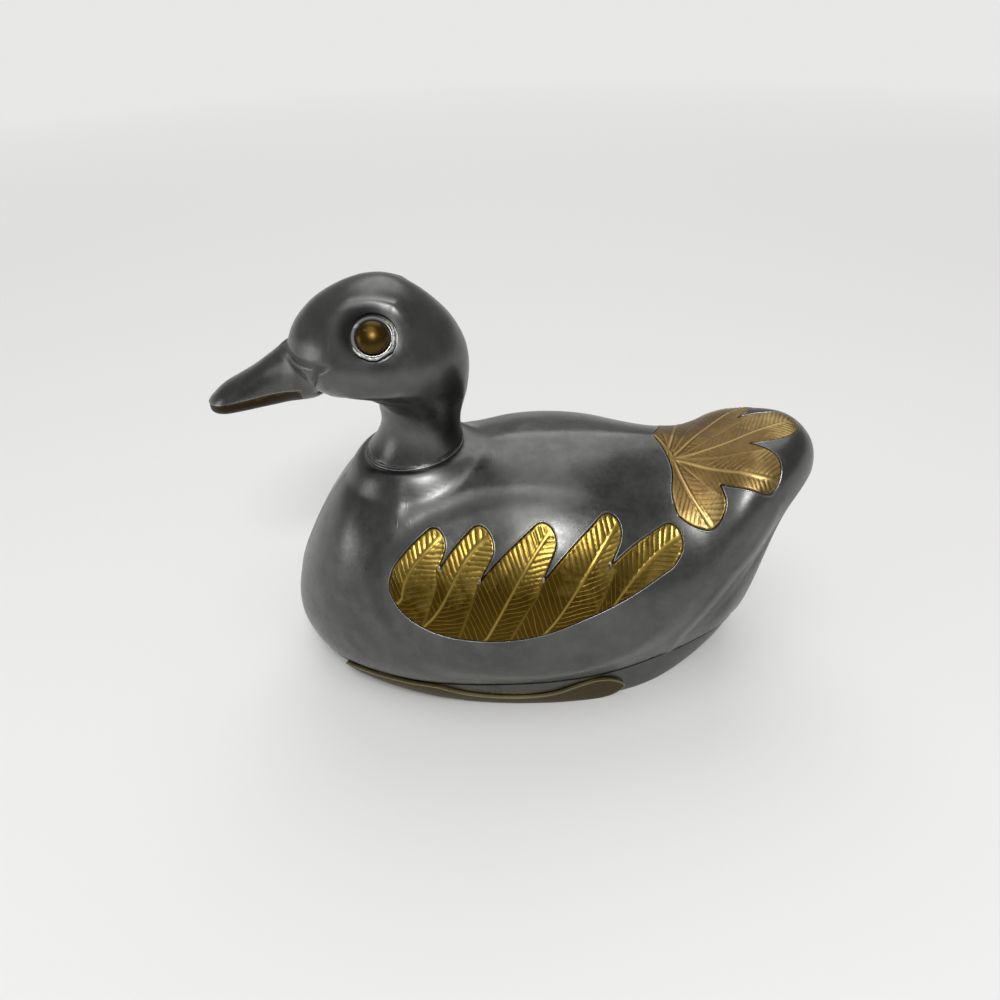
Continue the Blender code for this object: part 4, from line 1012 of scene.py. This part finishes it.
def shape_head(head):
    """Brow, eye hollows and creases of the head, pushed along its normals."""
    points = vectors(head, "co") / MM
    height = relief(points, HEAD_RELIEF)
    for spot in eye_spots(points):
        away = np.linalg.norm(spot, axis=1) / EYE_DISH_REACH
        trough = np.linalg.norm(spot - EYE_HOLLOW, axis=1) / EYE_HOLLOW_REACH
        height -= EYE_DISH_DEPTH * np.exp(-away**6) + EYE_HOLLOW_DEPTH * np.exp(-trough**4)
    points += vectors(head, "normal") * height[:, None]
    head.data.vertices.foreach_set("co", (points * MM).ravel())
    head.data.update()


def stain(thing, shade_and_grime, height):
    """Painted shade and soiling in the hollows, and ridges made lighter by rubbing and painted
    highlight, as values that the material reads.
    """
    wearing_and_highlight = np.clip(1.3 * height - 0.12, 0, 0.45)
    for name, value in (("shade_and_grime", shade_and_grime), ("wearing_and_highlight", wearing_and_highlight), ("plain", np.ones(len(wearing_and_highlight)))):
        thing.data.attributes.new(name, "FLOAT", "POINT").data.foreach_set("value", value)


def stain_lid(lid):
    """Darker in the hollows of the lid, and painted shade under the tail."""
    points = vectors(lid, "co") / MM
    height = relief(points, LID_RELIEF)
    shade_and_grime = np.clip(-1.2 * height - 0.08, 0, 0.35)
    # Painted shade under the tail, fading out from its middle
    away = np.linalg.norm((folded(points) - UNDER_TAIL_SHADE) / UNDER_TAIL_SHADE_REACH, axis=1)
    stain(lid, np.maximum(shade_and_grime, 0.42 * np.exp(-away**2)), height)


def stain_head(head):
    """Darker in the creases, painted shade in the eye hollows and a painted highlight along the
    mouth's edge, on the finished head.
    """
    points = vectors(head, "co") / MM
    height = relief(points, HEAD_RELIEF)
    shade_and_grime = np.clip(-1.9 * height - 0.15, 0, 0.8)
    # Painted shade in each eye's hollow, darkest near its middle
    for spot in eye_spots(points):
        trough = np.linalg.norm(spot - EYE_SHADE, axis=1) / EYE_SHADE_REACH
        shade_and_grime = np.maximum(shade_and_grime, np.exp(-trough**6))
    # A painted highlight along the mouth's edge, passed as a lighter ridge
    over = points[:, 2] - mouth_line(points[:, 0])
    edge = np.exp(-(over / 0.25) ** 2) * (points[:, 0] < BILL_TIP_X + MOUTH_LENGTH + 0.3)
    stain(head, shade_and_grime, height + 0.7 * edge)


def neck_beads():
    """Foot of the neck: two thin beads, and the spigot that goes into the lid."""
    edge = NECK_FOOT - 0.05
    profile = [(SPIGOT_RADIUS, -LID_WALL - SPIGOT_REACH - NECK_GAP), (SPIGOT_RADIUS, -0.29)]
    profile += [(edge + out, rise) for out, rise in NECK_BEADS]
    rings = turned_rings(profile, 160)
    rings[..., 2] += np.where(rings[..., 2] < -0.3, 0, 1) * lean_at(rings[..., 0] + NECK_X)
    return make_object("neck_beads", *loft(rings + (NECK_X, 0, HEAD_FOOT)), MATERIALS["pewter"],
                       crease=50)


def build_lower_bill():
    rings, tip = bill_rings(0.25, 90, 72)
    lower = make_object("bill_strip", *loft(rings, (tip, None)), MATERIALS["dark_brass"])
    cut(lower, mouth_block(0.16, 0.2), "INTERSECT")
    settle(lower, 35)
    declare(lower, "lid", "dark_brass", "bill_lower")


def build_eye(frame_matrix, side):
    """Brass dome, bezel, and the rough solder that shows round it."""
    radius, rise = EYE_RADIUS + EYE_GROWTH, EYE_BULGE + EYE_SINK
    profile = [(radius, -EYE_DEPTH), (radius, -EYE_SINK)]
    for t in np.linspace(0.12, math.pi / 2 - 0.06, 22):
        profile.append((radius * math.cos(t), rise * math.sin(t) - EYE_SINK))
    points, faces = loft(turned_rings(profile, 72), (None, (0, 0, EYE_BULGE)))
    dome = make_object(f"eye_dome_{side}", in_frame(frame_matrix, points), faces,
                       MATERIALS["eye_brass"], crease=50)
    declare(dome, "lid", "brass", f"eye_{side}")
    hole, outer = EYE_RADIUS + BEZEL_GAP, EYE_RADIUS + BEZEL_REACH
    profile = [(hole, -EYE_DEPTH), (hole, -0.55), (hole + 0.12, -0.33), (hole + 0.35, -0.25),
               (outer - 0.1, -0.42), (outer, -0.6), (outer, -EYE_DEPTH)]
    points = in_frame(frame_matrix, turned_rings(profile, 96).reshape(-1, 3))
    # Painted shade on one side of the bezel ring, through the value that darkens pewter
    lean = (points - np.array(frame_matrix)[:3, 3]) @ np.array((-0.6, 0, 0.8)) / outer
    ring = make_object(f"eye_ring_{side}", points, ring_faces(len(profile), 96, True),
                       MATERIALS["pewter"], {"shade_and_grime": soft(lean, -0.5, 0.5)})
    for piece in (ring, solder_crescent(frame_matrix, side)):
        declare(piece, "lid", "pewter", f"eye_bezel_{side}")


def solder_crescent(frame_matrix, side):
    """Rough run of solder under and behind the eye, thickest low down."""
    steps, around = 220, 14
    inverse = np.linalg.inv(np.array(frame_matrix)[:3, :3])
    down = inverse @ np.array((0.55, 0, -0.84))
    middle = math.atan2(down[1], down[0])
    rows = []
    for k in range(steps + 1):
        t = middle + (k / steps - 0.5) * math.radians(215)
        body = math.sin(math.pi * k / steps) ** 0.45
        rough = 0.5 * math.sin(k * 0.047 + 0.6)
        rough += 0.3 * math.sin(k * 0.19) * math.sin(k * 0.083 + 1)
        wide, tall = (0.40 + 0.22 * rough) * body, (0.27 + 0.10 * rough) * body
        centre = EYE_RADIUS + BEZEL_REACH + 0.08 * math.sin(k * 0.11)
        row = []
        for j in range(around):
            a = 2 * math.pi * j / around
            r = centre + wide * math.cos(a)
            h = -0.42 + tall * math.sin(a) * (1 + 0.12 * math.sin(0.7 * k + 2 * j))
            row.append((r * math.cos(t), r * math.sin(t), h))
        rows.append(row)
    points, faces = loft(np.array(rows))
    return make_object(f"eye_solder_{side}", in_frame(frame_matrix, points), faces,
                       MATERIALS["solder"])


def declare(thing, body, slot, *nodes):
    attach(thing, body)
    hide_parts(*nodes)


class Shader:
    """Small helper that adds and links nodes of one material."""

    def __init__(self, name):
        self.material = bpy.data.materials.new(name)
        self.material.use_nodes = True
        self.tree = self.material.node_tree
        self.surface = self.tree.nodes["Principled BSDF"]
        self.place = self.node("ShaderNodeTexCoord").outputs["Object"]

    def node(self, kind, values=None, **settings):
        made = self.tree.nodes.new(kind)
        for key, value in settings.items():
            setattr(made, key, value)
        return self.fill(made, values or {})

    def fill(self, made, values):
        """Link or set inputs of a node."""
        for key, value in values.items():
            if isinstance(value, bpy.types.NodeSocket):
                self.tree.links.new(value, made.inputs[key])
            else:
                made.inputs[key].default_value = value
        return made

    def noise(self, scale, detail=4.0, rough=0.55, stretch=None, warp=0.0):
        place = self.place
        if stretch:
            place = self.node("ShaderNodeMapping", {"Vector": place, "Scale": stretch[0],
                                                    "Rotation": stretch[1]}).outputs[0]
        return self.node("ShaderNodeTexNoise", {"Vector": place, "Scale": scale, "Detail": detail,
                                                "Roughness": rough, "Distortion": warp}).outputs[0]

    def spread(self, value, low, high, start=0.0, end=1.0):
        """The span from low to high, laid out over start to end."""
        return self.node("ShaderNodeMapRange", {"Value": value, "From Min": low, "From Max": high,
                                                "To Min": start, "To Max": end}).outputs[0]

    def math(self, operation, first, second=0.0):
        return self.node("ShaderNodeMath", {0: first, 1: second}, operation=operation).outputs[0]

    def times(self, first, second):
        return self.math("MULTIPLY", first, second)

    def rest(self, value):
        """What the value leaves of one."""
        return self.math("SUBTRACT", 1.0, value)

    def mix(self, share, *colours):
        first, second = [(*c, 1) if isinstance(c, tuple) else c for c in colours]
        return self.node("ShaderNodeMix", {0: share, 6: first, 7: second},
                         data_type="RGBA").outputs[2]

    def attribute(self, name):
        return self.node("ShaderNodeAttribute", attribute_name=name).outputs["Fac"]

    def ridges(self, low, high):
        """High on outer edges, from the mesh itself."""
        return self.spread(self.node("ShaderNodeNewGeometry").outputs["Pointiness"], low, high)

    def give(self, colour, metallic, rough, specular=None):
        """Inputs of the material's surface."""
        self.fill(self.surface, {"Base Color": colour, "Metallic": metallic, "Roughness": rough})
        if specular is not None:
            self.fill(self.surface, {"Specular IOR Level": specular})

    def bump(self, layers):
        """Chain of (height, distance in metres, strength)."""
        normal = None
        for height, distance, strength in layers:
            values = {"Height": height, "Distance": distance, "Strength": strength}
            if normal:
                values["Normal"] = normal
            normal = self.node("ShaderNodeBump", values).outputs[0]
        self.fill(self.surface, {"Normal": normal})


def pewter_material(name, seam=False):
    """Aged satin pewter: cloudy grey, painted shade and soiling where the mesh asks, edges and
    ridges lighter from rubbing and painted highlight, fine brush marks, nicks and specks; with
    seam set, painted shade along the seam.
    """
    s = Shader(name)
    cloud = s.noise(70, 5, 0.6, warp=0.6)
    patch = s.noise(230, 4, 0.55)
    colour = s.mix(s.spread(cloud, 0.35, 0.68), (0.088, 0.089, 0.087), (0.128, 0.129, 0.126))
    colour = s.mix(s.spread(patch, 0.45, 0.75, 0, 0.5), colour, (0.155, 0.157, 0.153))
    tarnish = s.spread(s.noise(120, 6, 0.7, warp=1.2), 0.60, 0.78, 0, 0.55)
    colour = s.mix(tarnish, colour, (0.066, 0.063, 0.056))
    # Painted shade and soiling from the mesh's value: the colour goes near black, less metallic
    # and rougher
    shade_and_dirt = s.attribute("shade_and_grime")
    colour = s.mix(s.times(shade_and_dirt, 1.05), colour, (0.004, 0.0038, 0.0034))
    # Lighter on sharp edges and ridges: partly rubbing, partly painted highlight
    rubbing_and_highlight = s.times(s.ridges(0.52, 0.60), s.rest(s.attribute("plain")))
    rubbing_and_highlight = s.math("MAXIMUM", rubbing_and_highlight, s.attribute("wearing_and_highlight"))
    colour = s.mix(s.times(rubbing_and_highlight, 0.75), colour, (0.42, 0.42, 0.43))
    gate = s.spread(s.noise(85, 2), 0.55, 0.66)
    speck = s.times(s.spread(s.noise(1250, 2, 0.5), 0.73, 0.78), gate)
    colour = s.mix(s.times(speck, 0.5), colour, (0.42, 0.42, 0.41))
    # Painted shade in the gap between lid and hull: near black in a thin band round the rim's
    # height
    if seam:
        height = s.node("ShaderNodeSeparateXYZ", {0: s.place}).outputs["Z"]
        away = s.math("ABSOLUTE", s.math("SUBTRACT", height, (RIM_HEIGHT + 0.02) * MM))
        colour = s.mix(s.spread(away, 0.00040, 0.00068, 0.97, 0), colour, (0.008, 0.008, 0.007))
    rough = s.spread(cloud, 0.3, 0.7, 0.27, 0.36)
    rough = s.math("ADD", rough, s.spread(s.noise(900, 3, 0.6), 0.3, 0.7, -0.04, 0.05))
    rough = s.math("ADD", rough, s.times(shade_and_dirt, 0.35))
    rough = s.math("SUBTRACT", rough, s.times(rubbing_and_highlight, 0.08))
    s.give(colour, s.rest(s.math("MINIMUM", s.times(shade_and_dirt, 1.1), 1.0)), rough, 0.15)
    brush = s.noise(420, 3, 0.6, stretch=((1.0, 9.0, 6.0), (0.5, 0.2, 0.3)))
    scratch = s.noise(150, 2, 0.5, stretch=((14.0, 1.0, 1.4), (0.3, 0.9, 0.6)), warp=0.4)
    scratch = s.spread(scratch, 0.68, 0.74)
    s.bump(((s.noise(95, 2, 0.5), 0.00022, 0.5), (brush, 0.00002, 0.5),
            (s.noise(1500, 4, 0.7), 0.000012, 0.6), (scratch, 0.00003, 0.35),
            (speck, 0.00003, 0.4)))
    return s.material


def brass_material(name, bright, aged, deep, shine, age_low=0.35, age_high=0.65, lines=0.3,
                   rim=None, engraved_plate=True):
    """Old brass: brighter on feather tips, partly from wearing and partly painted light; bright
    lines; high edges lighter, partly from rubbing and partly painted highlight; brown where patina
    lies.
    """
    s = Shader(name)
    cloud = s.noise(110, 5, 0.65, warp=0.8)
    tip, rib, seam = s.attribute("tip"), s.attribute("rib"), s.attribute("seam")
    turn = s.math("SINE", s.times(s.attribute("phase"), math.pi))
    barb = s.spread(s.math("ABSOLUTE", turn), 0.08, 0.30, 1, 0)
    barb = s.times(barb, s.spread(rib, 0.3, 0.55))
    barb = s.times(barb, s.rest(seam))
    line = s.math("MAXIMUM", barb, s.times(seam, 0.7))
    engraved = s.times(line, s.spread(tip, 0.2, 0.9, 1, 0))
    groove = s.spread(s.math("ABSOLUTE", turn), 0.12, 0.62, 1, 0)
    groove = s.times(groove, s.times(s.spread(rib, 0.2, 0.7), tip))
    # Brighter towards the feather tips: partly wearing, partly painted light where the upper tips
    # face the lamps
    tip_wearing_and_light = s.math("ADD", s.times(tip, 0.75), s.spread(cloud, 0.3, 0.75, -0.28, 0.22))
    colour = s.mix(s.spread(tip_wearing_and_light, age_low - 0.25, age_high + 0.2), aged, bright)
    shade_and_grime = s.spread(s.noise(260, 5, 0.7, warp=1.5), 0.50, 0.72, 0, 0.6)
    colour = s.mix(shade_and_grime, colour, deep)
    # Lighter on high parts and edges: partly rubbing, partly painted highlight
    raised_rubbing_and_highlight = s.attribute("wearing_and_highlight")
    if not engraved_plate:
        raised_rubbing_and_highlight = s.ridges(0.51, 0.57)
    colour = s.mix(s.times(raised_rubbing_and_highlight, 0.6), colour, bright)
    colour = s.mix(s.times(engraved, lines), colour, bright)
    colour = s.mix(s.times(groove, 0.6), colour, deep)
    # Darker at the plate's edge, or on the belly plates a pale painted highlight along it
    edge = s.attribute("edge")
    colour = s.mix(s.times(s.times(edge, edge), 0.5), colour, rim or deep)
    s.give(colour, 1.0, s.spread(tip_wearing_and_light, 0.0, 1.0, shine + 0.14, shine))
    s.bump(((s.noise(330, 3, 0.6), 0.00008, 0.5), (engraved, -0.00005, 0.8),
            (s.noise(1700, 4, 0.7), 0.000014, 0.7)))
    return s.material


def solder_material():
    s = Shader("old solder")
    crust = s.noise(700, 5, 0.7, warp=1.0)
    colour = s.mix(s.spread(crust, 0.38, 0.62), (0.12, 0.115, 0.10), (0.50, 0.50, 0.47))
    s.give(colour, 0.75, 0.42)
    s.bump(((crust, 0.00013, 0.8), (s.noise(2200, 3, 0.7), 0.00004, 0.8)))
    return s.material


MATERIALS = {
    "pewter": pewter_material("aged pewter"),
    # Pewter with painted shade along the seam
    "seam_shaded_pewter": pewter_material("aged pewter of the box", True),
    "solder": solder_material(),
    "brass": brass_material("engraved brass", (0.52, 0.365, 0.085), (0.078, 0.044, 0.005),
                            (0.040, 0.023, 0.004), 0.27),
    "tail_brass": brass_material("tail brass", (0.50, 0.36, 0.135), (0.155, 0.097, 0.036),
                                 (0.085, 0.051, 0.020), 0.30, 0.45, 0.8),
    # The belly plates' pale edge colour is a painted highlight
    "belly_brass": brass_material("belly brass", (0.18, 0.14, 0.06), (0.080, 0.061, 0.027),
                                  (0.038, 0.030, 0.016), 0.38, 0.5, 0.9, 0.15, (0.62, 0.52, 0.28)),
    "eye_brass": brass_material("eye brass", (0.17, 0.115, 0.035), (0.075, 0.045, 0.011),
                                (0.034, 0.021, 0.008), 0.17, 0.5, 0.9, engraved_plate=False),
    "dark_brass": brass_material("dark brass", (0.17, 0.115, 0.05), (0.032, 0.021, 0.011),
                                 (0.014, 0.010, 0.007), 0.34, 0.7, 1.1, engraved_plate=False),
}


# Soft lamps in metres: name, place, size across and brightness of the disc
LAMPS = (("back", (0.0, 0.85, 1.05), 1.2, 1.5), ("key", (0.06, -0.60, 0.79), 0.32, 19.0),
         ("left", (-1.1, -0.2, 0.17), 0.5, 2.2), ("top", (-0.1, -0.22, 1.15), 0.7, 2.0))
LAMP_AIM = (0.0, 0.0, 0.05)
# The floor's half width, and where it fades to a plain pale colour
PALE, GROUND_HALF, GROUND_FADE = (0.80, 0.80, 0.795, 1), 4.0, (0.18, 0.9)
WORLD_COLOUR, WORLD_STRENGTH = (0.80, 0.80, 0.79, 1), 0.40
# The photograph's camera in metres: place, and its right, down and forward directions
CAMERA_PLACE, CAMERA_LENS = (-0.000706, -0.157000, 0.157525), 28.43
CAMERA_RIGHT = Vector((0.999594, 0.003326, -0.028290))
CAMERA_DOWN = Vector((-0.020783, -0.594019, -0.804182))
CAMERA_FORWARD = Vector((-0.019479, 0.804444, -0.593709))


def build_stage():
    """Pale floor, soft lamps and the photograph's camera."""
    floor = bpy.data.meshes.new("floor")
    corners = [(x * GROUND_HALF, y * GROUND_HALF, 0) for x, y in SQUARE]
    floor.from_pydata(corners, [], [(0, 1, 2, 3)])
    ground = placed("floor", floor)
    s = Shader("pale floor")
    s.give(PALE, 0.0, 0.9, 0.1)
    far = s.node("ShaderNodeVectorMath", {0: s.place}, operation="LENGTH").outputs["Value"]
    glow = s.node("ShaderNodeEmission", {"Color": PALE, "Strength": 1.0})
    rays = s.node("ShaderNodeLightPath").outputs
    seen = s.math("MAXIMUM", rays["Is Camera Ray"],
                  s.math("MAXIMUM", rays["Is Glossy Ray"], rays["Is Transmission Ray"]))
    share = s.times(s.spread(far, *GROUND_FADE), seen)
    mixed = s.node("ShaderNodeMixShader", {0: share, 1: s.surface.outputs[0],
                                           2: glow.outputs[0]})
    s.fill(s.tree.nodes["Material Output"], {"Surface": mixed.outputs[0]})
    floor.materials.append(s.material)
    world = bpy.data.worlds.new("studio")
    bpy.context.scene.world = world
    world.use_nodes = True
    background = world.node_tree.nodes["Background"].inputs
    background["Color"].default_value = WORLD_COLOUR
    background["Strength"].default_value = WORLD_STRENGTH
    for name, place, size, radiance in LAMPS:
        lamp = bpy.data.lights.new(name, "AREA")
        lamp.shape, lamp.size = "DISK", size
        lamp.energy = radiance * math.pi * math.pi * (size / 2) ** 2
        thing = placed(name, lamp)
        thing.location = place
        towards = Vector(LAMP_AIM) - Vector(place)
        thing.rotation_euler = towards.to_track_quat("-Z", "Y").to_euler()
    camera = bpy.data.cameras.new("camera")
    camera.sensor_width, camera.lens, camera.clip_start = 36.0, CAMERA_LENS, 0.001
    eye = placed("camera", camera)
    turn = Matrix((CAMERA_RIGHT, -CAMERA_DOWN, -CAMERA_FORWARD)).transposed().to_4x4()
    eye.matrix_world = Matrix.Translation(CAMERA_PLACE) @ turn
    bpy.context.scene.camera = eye
    bpy.context.scene.view_settings.view_transform = "Standard"


build_lid()
build_hull()
build_head()
build_stage()
